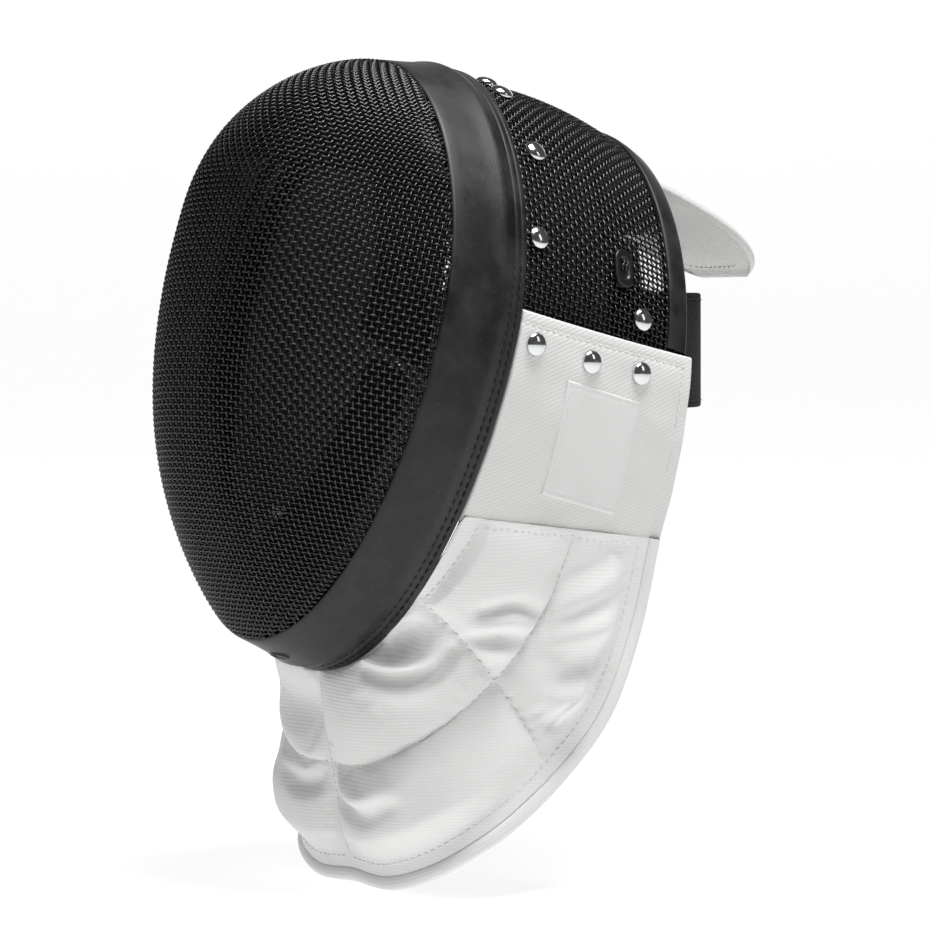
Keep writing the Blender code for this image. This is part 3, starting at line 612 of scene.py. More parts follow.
def drape(along, across):
    """Crossings of a quarter of the net, between its two axes."""
    net = np.full((len(across), len(along), 2), np.nan)
    net[0], net[:, 0] = along, across
    tiny = 1e-5
    for total in range(2, sum(net.shape[:2]) - 1):
        a = np.arange(max(1, total - net.shape[1] + 1), min(net.shape[0] - 1, total - 1) + 1)
        b = total - a
        one, two = net[a - 1, b], net[a, b - 1]
        spot = one + two - net[a - 1, b - 1]
        first, second = dome(*one.T), dome(*two.T)
        for _ in range(9):
            here = dome(*spot.T)
            along_x = (dome(spot[:, 0] + tiny, spot[:, 1]) - here) / tiny
            along_up = (dome(spot[:, 0], spot[:, 1] + tiny) - here) / tiny
            miss = [((here - p) ** 2).sum(1) - FACE_PITCH ** 2 for p in (first, second)]
            m = [[2 * ((here - p) * d).sum(1) for d in (along_x, along_up)]
                 for p in (first, second)]
            det = m[0][0] * m[1][1] - m[0][1] * m[1][0]
            det = np.where(np.abs(det) < 1e-12, 1e-12, det)
            move = np.stack([(miss[0] * m[1][1] - miss[1] * m[0][1]) / det,
                             (miss[1] * m[0][0] - miss[0] * m[1][0]) / det], axis=-1)
            size = np.linalg.norm(move, axis=1, keepdims=True)
            spot = spot - move * np.minimum(1, 0.6 * FACE_PITCH / np.maximum(size, 1e-9))
        net[a, b] = spot
    return net


across_line = step_line(0, 1, ACROSS)
upper = drape(across_line, step_line(1, 1, UPWARD))
lower = drape(across_line, step_line(1, -1, DOWNWARD))
half_net = np.concatenate([lower[:0:-1], upper])
face_net = np.concatenate([half_net[:, :0:-1] * (-1, 1), half_net], axis=1)
face_spots = dome(face_net[..., 0], face_net[..., 1])
face_inside = face_share(face_net[..., 0], face_net[..., 1]) < 1.0
print("face net", face_inside.sum(), "crossings")

# %% Weave the face mesh
# Where a wire's two last points lie behind the band's front edge
TUCK = 0.0, 0.003
face_world = place(face_spots[..., 0], face_spots[..., 1], face_spots[..., 2])
face_normals = normals_of(face_world[::-1])[::-1]
face_normals *= np.where(face_normals[..., 1:2] > 0, -1, 1)


def tucked_end(spot):
    """Two points that carry a wire's end under the band."""
    x, up = spot[0], spot[1] - FACE_APEX
    turn = np.interp(math.atan2(x, up), rim_turns, rim_angles)
    lap = BAND_WALL + CLEARANCE + WIRE_INSET
    sizes = (RING_HALF_WIDTH - TAPER_SIDE - lap, RING_ABOVE - TAPER_TOP - lap,
             RING_BELOW - TAPER_CHIN - lap)
    rim_x, rim_up = outline(turn, *sizes)
    return [place(rim_x, -BAND_WIDTH + run, rim_up) for run in TUCK]


def net_runs(world, normals, spots, inside, start):
    """Runs of the wires along the rows of a net, clipped to its inside."""
    runs = []
    for row in range(len(world)):
        held = np.flatnonzero(inside[row])
        if len(held) < 3:
            continue
        pieces = np.split(held, np.flatnonzero(np.diff(held) > 1) + 1)
        held = max(pieces, key=len)
        line, normal, rise = crimp(world[row, held], normals[row, held], held[0] + row + start,
                                   FACE_WIRE * CRIMP_SHARE)
        before, after = tucked_end(spots[row, held[0]]), tucked_end(spots[row, held[-1]])
        line = np.concatenate([before[::-1], line, after])
        normal = np.concatenate([normal[:1]] * 2 + [normal] + [normal[-1:]] * 2)
        rise = np.concatenate([[0, 0], rise, [0, 0]])
        runs.append((line, normal, rise))
    return runs


weft = net_runs(face_world, face_normals, face_net, face_inside, 0)
warp = net_runs(face_world.transpose(1, 0, 2), face_normals.transpose(1, 0, 2),
                face_net.transpose(1, 0, 2), face_inside.T, 1)
face_weft = wires("face_mesh_weft", weft, FACE_WIRE * RADIUS_SHARE, enamel)
face_warp = wires("face_mesh_warp", warp, FACE_WIRE * RADIUS_SHARE, enamel)
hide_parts("front_mesh")
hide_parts("front_mesh")

# %% [markdown]
# ## Side mesh
# Round the head the mesh is only rolled, not domed, so its wires follow the
# shell: one set runs round the arch, the other runs back. It is heavier wire
# at a wider pitch.

# %% Weave the side mesh
SIDE_PITCH, SIDE_WIRE = 0.00298, 0.00118
SIDE_LAP, SIDE_BELOW, REAR_TRIMMED = 0.012, 0.030, 0.0015
low_turn = angle_at(-SIDE_BELOW, *side_sizes(0)[1:])
turns = np.linspace(0, low_turn, 2001)
arch = side_point(turns, 0.05)
run = run_of(arch)
places = np.interp(np.arange(0, run[-1], SIDE_PITCH), run, turns)
side_turns = np.concatenate([-places[:0:-1], places])
side_backs = np.arange(-SIDE_LAP, REAR_EAR, SIDE_PITCH)
turn_grid, back_grid = np.meshgrid(side_turns, side_backs, indexing="ij")
side_world = side_point(turn_grid, back_grid, MESH_WALL / 2)
side_normals = normals_of(side_world)
away = (side_world + SEAT) * (1, 0, 1)
side_normals *= np.where((side_normals * away).sum(-1, keepdims=True) < 0, -1, 1)
side_inside = back_grid < rear_edge(turn_grid) - REAR_TRIMMED


def shell_runs(world, normals, inside, start):
    """Runs of the wires along the rows of the shell's grid."""
    runs = []
    for row in range(len(world)):
        held = np.flatnonzero(inside[row])
        if len(held) < 3:
            continue
        runs.append(crimp(world[row, held], normals[row, held], held[0] + row + start,
                          SIDE_WIRE * CRIMP_SHARE))
    return runs


side_weft = wires("side_mesh_weft", shell_runs(side_world, side_normals, side_inside, 0),
                  SIDE_WIRE * RADIUS_SHARE, enamel)
side_warp = wires("side_mesh_warp",
                  shell_runs(side_world.transpose(1, 0, 2), side_normals.transpose(1, 0, 2),
                             side_inside.T, 1), SIDE_WIRE * RADIUS_SHARE, enamel)
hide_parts("side_mesh")
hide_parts("side_mesh")

# %% [markdown]
# ## Rubber band and binding
# The band is one moulding: two fine grooves near its rear edge, where it is
# sewn, a soft ridge a third of the way forward, and a thin lip that turns in
# over the face mesh. The binding is a strip folded over the mesh's cut edge.

# %% Stitches
# Length of a stitch, gap to the next one, thickness of the thread
FLAP_STITCH, BAND_STITCH = (0.0030, 0.0010, 0.00055), (0.0032, 0.0012, 0.0007)
LABEL_STITCH, BIB_STITCH = (0.0019, 0.0009, 0.00065), (0.0026, 0.0012, 0.0008)
FINE_STITCH = 0.0024, 0.0011, 0.0006


def stitches(name, line, normal, finish, slot, size=FLAP_STITCH):
    """A row of thread stitches along a line that lies on a surface."""
    length, gap, thick = size
    run = run_of(line)
    starts = np.arange(gap / 2, run[-1] - length, length + gap)
    # Along each stitch: share of its length, thickness, height over the cloth
    section = ((0.0, 0.35, -0.6), (0.12, 0.8, 0.1), (0.35, 1.0, 0.5), (0.65, 1.0, 0.5),
               (0.88, 0.8, 0.1), (1.0, 0.35, -0.6))
    turns = np.arange(6) * math.pi / 3
    points = []
    for share, girth, height in section:
        at = starts + share * length
        spot, up = at_run(at, run, line), unit(at_run(at, run, normal))
        side = unit(np.cross(at_run(at + 1e-4, run, line) - at_run(at - 1e-4, run, line), up))
        ring = (side[:, None] * np.cos(turns)[None, :, None]
                + up[:, None] * np.sin(turns)[None, :, None])
        points.append((spot + up * thick * height / 2)[:, None] + ring * thick * girth / 2)
    points = np.stack(points, axis=1)
    count = len(starts)
    quads = np.concatenate([grid_quads(6, 6, 36 * k, around=True) for k in range(count)])
    flat = np.stack([np.zeros(36 * count), np.tile(np.linspace(0, 0.003, 36), count)], -1)
    piece = make_piece(name, points, quads, finish, flat)
    print(name, count, "stitches")


# %% Band round the ring
BAND_SEAMS = 0.092, 0.187
DIMPLE_SHARE, DIMPLE_HALF_WIDTH, DIMPLE_HALF_LENGTH = 0.60, 0.0062, 0.0030
# Share of the band's width from its rear edge, and rise of its outer face
BAND_FACE = ((0.000, -0.0016), (0.006, -0.0008), (0.020, -0.0003), (0.070, 0.0000),
             (0.083, -0.0001), (0.092, -0.0002), (0.101, -0.0001), (0.115, 0.0002),
             (0.165, 0.0004), (0.178, 0.0003), (0.187, 0.0002), (0.196, 0.0003),
             (0.215, 0.0006), (0.27, 0.0011), (0.31, 0.0017), (0.35, 0.0020), (0.40, 0.0018),
             (0.48, 0.0012), (0.60, 0.0008), (0.75, 0.0005), (0.90, 0.0003), (1.02, 0.0002),
             (1.05, -0.0001),
             (1.065, -0.0008), (1.06, -0.0014), (1.03, -0.0016), (1.0, -0.0024),
             (0.99, -0.0030), (0.8, -0.0030), (0.5, -0.0030),
             (0.2, -0.0030), (0.02, -0.0030), (0.003, -0.0026))
band_turns = full_turn(360)
shares = np.array([row[0] for row in BAND_FACE])
rises = np.array([row[1] for row in BAND_FACE])
band_grid = band_point(band_turns[:, None], shares[None], -rises[None])
rows, columns = band_grid.shape[:2]
quads = grid_quads(rows + 1, columns, around=True) % (rows * columns)
cloth = np.stack(np.broadcast_arrays(band_turns[:, None] * 0.12, shares[None] * BAND_WIDTH), -1)
band = make_piece("rubber_band", band_grid, quads, rubber, cloth)
weld(band, 70)
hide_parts("front_trim")
# The moulding's filling point: an oval lip under the chin, with a hollow in it
centre = band_point(math.pi, DIMPLE_SHARE, -0.0004)
sideways = np.array([1.0, 0, 0])
along = unit(band_point(math.pi, 0.70, 0) - band_point(math.pi, 0.50, 0))
outward = np.cross(sideways, along)
outward *= np.sign(-outward[2])
turn = full_turn(48)
# Share of the oval's size, and rise over the band
lip = ((1.20, -0.0012), (1.14, 0.0004), (1.0, 0.0010), (0.88, 0.0006), (0.70, -0.0001),
       (0.35, -0.0004), (0.0, -0.0004))
spots = np.array([centre + DIMPLE_HALF_WIDTH * size * np.cos(turn)[:, None] * sideways
                  + DIMPLE_HALF_LENGTH * size * np.sin(turn)[:, None] * along + rise * outward
                  for size, rise in lip])
dimple = make_piece("chin_dimple", spots, grid_quads(*spots.shape[:2], around=True), rubber)
weld(dimple, 70)
for side, name in ((1, "left"), (-1, "right")):
    for row, share in enumerate(BAND_SEAMS, 1):
        sewn = side * np.linspace(angle_at(0.030, RING_ABOVE, RING_BELOW), math.pi - 0.12, 400)
        line = band_point(sewn, share, -0.0001 * row)
        lift = line - band_point(sewn, share, 0.0010)
        stitches(f"{name}_band_seam_{row}", line, lift, black_thread, "black_rubber", BAND_STITCH)
print("band", len(band.data.polygons), "quads")

# %% Binding round the rear edge
FLAP_TOP, FLAP_TOP_RISE = 0.010, 0.003
binding_end = angle_at(FLAP_TOP + FLAP_TOP_RISE + CLEARANCE, *side_sizes(REAR_EAR)[1:])
binding_turns = np.linspace(-binding_end, binding_end, 181)
# Distance ahead of the rear edge, and inset from the mesh's outer face
BINDING_FOLD = ((0.0115, -0.0002), (0.0114, -0.0010), (0.0108, -0.0014), (0.0088, -0.0017),
                (0.0062, -0.0018), (0.0036, -0.0017), (0.0012, -0.0016),
                (0.0002, -0.0011), (-0.0003, 0.0002), (-0.0004, 0.0010), (-0.0003, 0.0018),
                (0.0002, 0.0030), (0.0012, 0.0036), (0.0040, 0.0037), (0.0108, 0.0036),
                (0.0114, 0.0032), (0.0115, 0.0024))
ahead = np.array([row[0] for row in BINDING_FOLD])
inset = np.array([row[1] for row in BINDING_FOLD])
backs = rear_edge(binding_turns)[:, None] - ahead[None]
fold = side_point(binding_turns[:, None], backs, inset[None])
quads = grid_quads(*fold.shape[:2], around=True)
cloth = np.stack(np.broadcast_arrays(binding_turns[:, None] * 0.11, ahead[None]), -1)
binding = make_piece("rear_binding", fold, quads, rubber, cloth)
weld(binding, 70)
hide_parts("rear_trim")

# %% [markdown]
# ## Padded lining
# Foam covered in grey brushed cloth is glued inside: round the sides and crown,
# across the forehead, and under the chin. Each pad is a sheet of foam with its
# edges pinched round and shallow sewn channels.

# %% Lining round the head
LINING_REAR, LINING_BELOW, LINING_CHANNELS = 0.055, 0.050, 7
low_turn = angle_at(-LINING_BELOW, *side_sizes(0)[1:])
first = -BAND_WIDTH + FACE_SKIRT + CLEARANCE
down, along = rimmed(120, 0.012), rimmed(24, 0.05)
turns = low_turn * (2 * down - 1)
backs = first + (LINING_REAR - first) * along
edge = rounded(down, 0.012)[:, None] * rounded(along, 0.05)[None]
channels = np.abs(np.cos(down * math.pi * LINING_CHANNELS))
swell = 0.85 + 0.15 * channels[:, None] * np.ones(len(along))[None]
middle = LINING_INSET + LINING_WALL / 2
half = LINING_WALL / 2 * edge * swell
lining = slab("side_padding", side_point(turns[:, None], backs[None], middle - half),
              side_point(turns[:, None], backs[None], middle + half), dark_tricot_for_shade)
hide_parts("side_lining")

# %% [markdown]
# ## Dark cloths for the shade inside
# Behind the wires that no pad covers lie thin dark cloths: painted shade for the
# dark inside of the mask, seen through the wires. Each is a single sheet that
# follows the shell, with a slight ripple, and they are made with the mask's own
# curves like the shell itself.

# %% Thin cloth behind the crown's mesh
CLOTH_WALL, CROWN_CLOTH_LOW, CROWN_CLOTH_GAP, CROWN_CLOTH_TAPER = 0.0008, 0.058, 0.010, 0.030
cover_low = angle_at(CROWN_CLOTH_LOW, *side_sizes(0)[1:])
down, along = np.linspace(-1, 1, 161), rimmed(16, 0.05)
turns = cover_low * down
tapered = CROWN_CLOTH_TAPER * smooth_step(np.abs(down), 0.85, 1.0)
last = REAR_TOP - CROWN_CLOTH_GAP - tapered
backs = LINING_REAR - 0.004 + (last[:, None] - LINING_REAR + 0.004) * along[None]
inset = 0.0030 + 0.0006 * np.sin(down * 31)[:, None] * np.sin(along * math.pi)[None]
# A dark sheet behind the crown's mesh: painted shade for the inside of the mask
cover = slab("crown_lining_cloth", side_point(turns[:, None], backs, inset),
             side_point(turns[:, None], backs, inset + CLOTH_WALL), dark_tricot_for_shade)

# %% Thin cloth behind the ears
def side_cloth(name, ups, backs, inset, side):
    """Cloth between two heights and two distances behind the ring."""
    up, back = np.meshgrid(np.interp(rimmed(60, 0.02), [0, 1], ups),
                           np.interp(rimmed(30, 0.03), [0, 1], backs), indexing="ij")
    ripple = inset + 0.0005 * np.sin(up * 260) * np.sin(back * 90)
    made = slab(name, side_at(up, back, ripple, side),
                side_at(up, back, ripple + CLOTH_WALL, side), dark_tricot_for_shade)


# Name, heights of its two ends, distances behind the ring, inset
SIDE_CLOTHS = (("ear", (-0.052, 0.040), (LINING_REAR - 0.002, 0.0975), 0.0062),
               ("jaw", (-0.086, -0.046), (-0.016, 0.0975), 0.0028),
               ("temple", (0.0385, 0.060), (LINING_REAR - 0.002, 0.0765), 0.0048))
# Dark sheets behind the ears, jaw and temples: painted shade for the inside of the mask
for side, name in ((1, "left"), (-1, "right")):
    for spot, ups, backs, inset in SIDE_CLOTHS:
        side_cloth(f"{name}_{spot}_lining_cloth", ups, backs, inset, side)
print("lining cloths ready")

# %% [markdown]
# ## Pads behind the face
# A pad lies along the forehead and one round the chin. Each runs from its
# opening's edge out to the band, follows the dome at an even distance behind
# the wires, and is pinched round at its edges.

# %% Pads behind the face mesh
PAD_WALL, FOREHEAD_EDGE, FOREHEAD_SHARE = 0.007, 0.055, 0.97
CHIN_HALF, CHIN_BELOW = 0.081, 0.122
PAD_GAP = MESH_WALL + 3 * CLEARANCE


def face_pad(name, node_name, turns, opening):
    """Foam pad from an opening's edge to the band, behind the face mesh."""
    down = rimmed(40, 0.03)
    turn = np.interp(down, [0, 1], [turns[0], turns[1]])
    out = rimmed(26, 0.06)
    edge = rounded(down, 0.03)[:, None] * rounded(out, 0.06)[None]

    def wall(depth):
        rim_x, rim_up = outline(turn[:, None], *rim_sizes(BAND_WALL + PAD_GAP + depth))
        edge_x, edge_up = opening(turn)
        x = edge_x[:, None] + out[None] * (rim_x - edge_x[:, None])
        up = edge_up[:, None] + out[None] * (rim_up - edge_up[:, None])
        return face_point(x, up, PAD_GAP + depth)

    middle = PAD_WALL / 2
    pad = slab(name, wall(middle - middle * edge), wall(middle + middle * edge), dark_tricot_for_shade)
    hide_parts(node_name)


sizes = rim_sizes(BAND_WALL + MESH_WALL + PAD_WALL)
reach = angle_at(FOREHEAD_EDGE + PAD_WALL / 2, *sizes[1:])
width = float(half_width_at(FOREHEAD_EDGE, *sizes))
face_pad("forehead_padding", "forehead_pad", (-reach, reach),
         lambda turn: (FOREHEAD_SHARE * width * np.sin(turn) / math.sin(reach),
                       np.full(len(turn), FOREHEAD_EDGE)))
chin_reach = 9 * 2 * math.pi / 42
face_pad("chin_padding", "chin_pad", (math.pi - chin_reach, math.pi + chin_reach),
         lambda turn: outline(turn, CHIN_HALF, RING_ABOVE, CHIN_BELOW))
# Thin dark cloth along the rim, from one pad to the other: painted shade inside the mask, seen
# through the face mesh
for side, name in ((1, "left"), (-1, "right")):
    turn, out = np.meshgrid(side * np.linspace(reach + 0.02, math.pi - chin_reach - 0.02, 120),
                            np.linspace(0.80, 0.985, 14), indexing="ij")
    x, up = outline(turn, *rim_sizes(PAD_GAP))
    x, up = x * out, FACE_APEX + (up - FACE_APEX) * out
    cloth = slab(name + "_rim_lining_cloth", face_point(x, up, PAD_GAP + 0.0002),
                 face_point(x, up, PAD_GAP + 0.0010), dark_tricot_for_shade)
print("pads ready")

# %% [markdown]
# ## Canvas flaps and labels
# A flap of doubled twill covers each ear. It is cut with a turned hem, stitched
# close to the edge, and its label is a satin patch sewn on all round. The
# patch is left bare.

# %% Flaps over the ears
FLAP_WALL, FLAP_BOTTOM, FLAP_BOTTOM_RISE, FLAP_OVERHANG = 0.0018, 0.088, 0.013, 0.010
FLAP_GAP = 2 * CLEARANCE
FLAP_INSET = -FLAP_GAP - FLAP_WALL
LABEL_WIDTH, LABEL_HEIGHT, LABEL_WALL = 0.044, 0.052, 0.0006
LABEL_BACK, LABEL_DOWN, LABEL_SLANT = 0.057, 0.041, 0.085
# Where the seams run: from the flap's edges, and from the label's
FLAP_SEAM_INSET, FLAP_SEAM_SUNK, LABEL_SEAM_INSET = 0.0062, 0.0003, 0.0021


def flap_top(back):
    return FLAP_TOP + FLAP_TOP_RISE * (back / REAR_EAR) ** 2


def flap_bottom(back):
    return -FLAP_BOTTOM + FLAP_BOTTOM_RISE * back / REAR_EAR


def flap_back(share, down):
    start = 2 * CLEARANCE
    return start + share * (REAR_EAR + FLAP_OVERHANG * down - start)


def flap_spot(share, down, inset, side):
    back = flap_back(share, down)
    up = flap_top(back) + down * (flap_bottom(back) - flap_top(back))
    return side_at(up, back, inset, side)


def line_on(grid_of, path):
    """A line over a surface, and the surface's normals along it."""
    a, b = path
    step = 1e-3
    spot = grid_of(a, b)
    one = grid_of(a + step, b) - grid_of(a - step, b)
    two = grid_of(a, b + step) - grid_of(a, b - step)
    normal = np.cross(one, two)
    outward = spot - np.array([0, -SEAT[1], -SEAT[2]])
    normal *= np.sign((normal * outward).sum(-1, keepdims=True))
    return spot, unit(normal)


def make_flap(name, side):
    shares, downs = rimmed(90, 0.012), rimmed(84, 0.012)
    share, down = np.meshgrid(shares, downs)
    edge = rounded(share, 0.012) * rounded(down, 0.012)
    near = np.minimum(down * 0.1, (1 - share) * 0.105)
    seam = np.exp(-((near - FLAP_SEAM_INSET) / 0.0009) ** 2)
    waves = 0.00025 * np.sin(share * 17 + down * 5) + 0.0002 * np.sin(down * 23 - share * 9)
    rise = FLAP_WALL * edge - 0.0004 * seam + waves * edge * smooth_step(down, 0, 0.3)
    flap = slab(name, flap_spot(share, down, -FLAP_GAP - rise, side),
                flap_spot(share, down, -FLAP_GAP + 0 * rise, side), canvas)
    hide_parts(name.replace("_cloth", ""))


def label_spot(run, drop, rise, side):
    up = -LABEL_DOWN + LABEL_HEIGHT * drop
    back = LABEL_BACK - LABEL_SLANT * LABEL_HEIGHT * drop + LABEL_WIDTH * run
    return side_at(up, back, FLAP_INSET - rise, side)


def make_label(name, side):
    runs, drops = rimmed(50, 0.02), rimmed(58, 0.02)
    run, drop = np.meshgrid(runs - 0.5, drops - 0.5)
    edge = rounded(run + 0.5, 0.02) * rounded(drop + 0.5, 0.02)
    near = np.minimum((0.5 - np.abs(run)) * LABEL_WIDTH, (0.5 - np.abs(drop)) * LABEL_HEIGHT)
    seam = np.exp(-((near - 0.002) / 0.0007) ** 2)
    rise = 0.0003 + (LABEL_WALL * 1.3) * edge - 0.0003 * seam
    label = slab(name, label_spot(run, drop, rise, side), label_spot(run, drop, 0 * edge, side),
                 satin)
    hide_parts(name.replace("_patch", ""))


for name, side in (("left", 1), ("right", -1)):
    make_flap(name + "_flap_cloth", side)
    make_label(name + "_label_patch", side)
    way = np.linspace(0.01, 0.99, 200)
    for edge, path in (("top", (way, 0 * way + 0.062)),
                       ("rear", (0 * way + 0.942, 0.07 + 0.9 * way)),
                       ("low", (way, 0 * way + 0.968))):
        sewn = line_on(lambda a, b: flap_spot(a, b, FLAP_INSET + FLAP_SEAM_SUNK, side), path)
        stitches(f"{name}_flap_{edge}_seam", *sewn, thread, "white_canvas")
    across_to = 0.5 - LABEL_SEAM_INSET / LABEL_WIDTH
    up_to = 0.5 - LABEL_SEAM_INSET / LABEL_HEIGHT
    corners = (-1, -1), (1, -1), (1, 1), (-1, 1), (-1, -1)
    for number, (a, b) in enumerate(zip(corners, corners[1:])):
        way = np.linspace(0.02, 0.98, 120)
        run = across_to * (a[0] + (b[0] - a[0]) * way)
        drop = up_to * (a[1] + (b[1] - a[1]) * way)
        sewn = line_on(lambda run, drop: label_spot(run, drop, 0.0006, side), (run, drop))
        stitches(f"{name}_label_seam_{number}", *sewn, thread, "white_woven_label", LABEL_STITCH)
print("flaps and labels ready")

# %% [markdown]
# ## Quilted bib
# The bib that guards the throat is padded cloth: two halves joined down the
# middle, each quilted into four panels. Each panel is a pillow that is pulled
# flat along its seams, where the cloth puckers.

# %% Outline of the bib
BIB_HALF_WIDTH, BIB_LENGTH, BIB_REAR, BIB_FRONT_SETBACK = 0.082, 0.093, 0.105, 0.019
BIB_WALL, BIB_SEAM_WALL, BIB_BELLY = 0.008, 0.004, 0.005
# How far the bib's top edge lies up the flap, and out from it
BIB_TOP_LAP, BIB_TOP_OUT = 0.0022, 0.0012
HEM_WIDTH, HEM_WALL = 0.008, 0.007
# Across, back and rise of the hem, as shares of the bib's own sizes
HEM = ((0.00, 0.00, 0.00), (0.34, 0.00, -0.005), (0.64, 0.06, 0.042), (0.83, 0.18, 0.115),
       (0.92, 0.35, 0.20), (0.96, 0.60, 0.34), (0.99, 0.80, 0.50), (1.00, 0.95, 0.73),
       (1.03, 1.00, 1.00))


def bib_edges(steps):
    low = angle_at(-FLAP_BOTTOM - 3 * CLEARANCE, *side_sizes(0)[1:])
    chin = band_point(np.linspace(math.pi, low, steps + 1), 0, BAND_WALL / 3)
    chin = chin + place(0, 2 * CLEARANCE, 0) - place(0, 0, 0)
    share = np.linspace(0, 1, steps + 1)
    back = flap_back(share, 1) - (HEM_WIDTH + CLEARANCE) * share
    seam = side_at(flap_bottom(back) + BIB_TOP_LAP, back, FLAP_INSET - BIB_TOP_OUT)
    seam[0] = chin[-1]
    front = chin[0] + np.array([0, BIB_FRONT_SETBACK, -BIB_LENGTH])
    corner = seam[-1]
    hem = [(BIB_HALF_WIDTH * a, front[1] + BIB_REAR * b, front[2] + (corner[2] - front[2]) * r)
           for a, b, r in HEM]
    hem[-1] = tuple(corner)
    hem = smooth_through(hem, steps + 1)
    centre = chin[0] + (front - chin[0]) * share[:, None]
    return chin, seam, hem, centre


# %% [markdown]
# ## Folds and quilting seams
# Each fold is a valley or a ridge along a short path, given in shares across
# and down the bib. Not all of these shares were chosen by hand: points were
# picked off the photograph by eye, another program projected the bib into it
# and printed their shares, and many stand here as it printed them. The same
# goes for the seams' formulas. Shares chosen by hand should replace them.

# %% Where the seams and folds run
CHEEK_FRONT, CHEEK_SPAN = 0.69, 0.31


def seam_down(u):
    """Share down at which the level seam runs, at a share across."""
    return 0.46 + 0.13 * np.abs(u) ** 1.5


def seam_across(v):
    """Share across at which the upright seam runs, at a share down."""
    return 0.685 - 0.165 * v


def cheek_seam(u):
    """Share down of the short seam under the flap, behind the upright one."""
    return 0.03 + 0.07 * np.clip((np.abs(u) - CHEEK_FRONT) / CHEEK_SPAN, 0, 1)


# Path in shares, half width and height in metres; a valley's height is below 0
FOLDS = ((((0.75, 0.27), (0.79, 0.39), (0.79, 0.51)), 0.0035, -0.0042),
         (((0.71, 0.29), (0.755, 0.40), (0.765, 0.51)), 0.0060, 0.0030),
         (((0.66, 0.30), (0.70, 0.40), (0.72, 0.51)), 0.0035, -0.0045),
         (((0.64, 0.35), (0.67, 0.42), (0.68, 0.50)), 0.0060, 0.0030),
         (((0.34, 0.07), (0.44, 0.19), (0.52, 0.25), (0.60, 0.26)), 0.0042, -0.0055),
         (((0.36, 0.03), (0.46, 0.12), (0.54, 0.18)), 0.0070, 0.0045),
         (((0.33, 0.14), (0.42, 0.25), (0.52, 0.31)), 0.0080, 0.0025),
         (((0.48, 0.05), (0.60, 0.06)), 0.0060, -0.0060),
         (((0.89, 0.60), (0.95, 0.81), (0.99, 0.97)), 0.0060, -0.0045),
         (((0.83, 0.60), (0.90, 0.78), (0.955, 0.96)), 0.0070, 0.0045),
         (((0.78, 0.59), (0.85, 0.74), (0.92, 0.94)), 0.0055, -0.0050),
         (((0.75, 0.60), (0.80, 0.76), (0.85, 0.92)), 0.0080, 0.0040),
         (((0.71, 0.57), (0.74, 0.76), (0.78, 0.90)), 0.0070, -0.0035),
         (((0.64, 0.83), (0.645, 0.87)), 0.0095, 0.0050),
         (((0.60, 0.78), (0.60, 0.86), (0.625, 0.94)), 0.0050, -0.0045),
         (((0.67, 0.72), (0.70, 0.80)), 0.0050, -0.0035),
         (((0.00, 0.55), (0.04, 0.63), (0.12, 0.69), (0.20, 0.68)), 0.0050, -0.0050),
         (((0.06, 0.56), (0.14, 0.62), (0.22, 0.63)), 0.0080, 0.0035),
         (((0.24, 0.55), (0.36, 0.56)), 0.0100, 0.0025))
FAR_FOLDS = ((((0.03, 0.20), (0.34, 0.24)), 0.0160, -0.0085),
             (((0.02, 0.52), (0.10, 0.58), (0.18, 0.57)), 0.0050, -0.0040),
             (((0.70, 0.33), (0.74, 0.42), (0.73, 0.52)), 0.0040, -0.0045),
             (((0.66, 0.36), (0.69, 0.44)), 0.0070, 0.0035),
             (((0.40, 0.10), (0.52, 0.20), (0.62, 0.20)), 0.0050, -0.0050),
             (((0.86, 0.62), (0.91, 0.80), (0.97, 0.96)), 0.0060, -0.0050),
             (((0.75, 0.60), (0.81, 0.76), (0.88, 0.94)), 0.0060, -0.0045),
             (((0.80, 0.61), (0.86, 0.78), (0.92, 0.95)), 0.0075, 0.0045),
             (((0.30, 0.60), (0.44, 0.72), (0.50, 0.86)), 0.0080, -0.0030))
BIB_ARC, BIB_DROP = 0.150, 0.105


def fold_relief(u, v, folds):
    """Height that the folds add, fading towards both ends of each path."""
    spot = np.stack([u * BIB_ARC, v * BIB_DROP], axis=-1)
    total = np.zeros(u.shape)
    for path, width, height in folds:
        line = smooth_through(path, 24) * (BIB_ARC, BIB_DROP)
        gap = np.linalg.norm(spot[..., None, :] - line, axis=-1)
        nearest = gap.argmin(axis=-1) / 23
        fade = 0.35 + 0.65 * np.sin(math.pi * np.clip(0.12 + 0.76 * nearest, 0, 1))
        total += height * fade * np.exp(-(gap.min(axis=-1) / width) ** 2)
    return total


def pillow(share, stitched):
    """Puff between two edges and the seam between them, 0 at all three."""
    inside = np.where(share < stitched, share / stitched, (share - stitched) / (1 - stitched))
    return np.clip(np.sin(math.pi * np.clip(inside, 0, 1)), 0, 1) ** 0.5


# %% Puff and folds of the bib
STEPS, PUFF_GAIN, FOLD_GAIN = 108, 1.4, 1.2


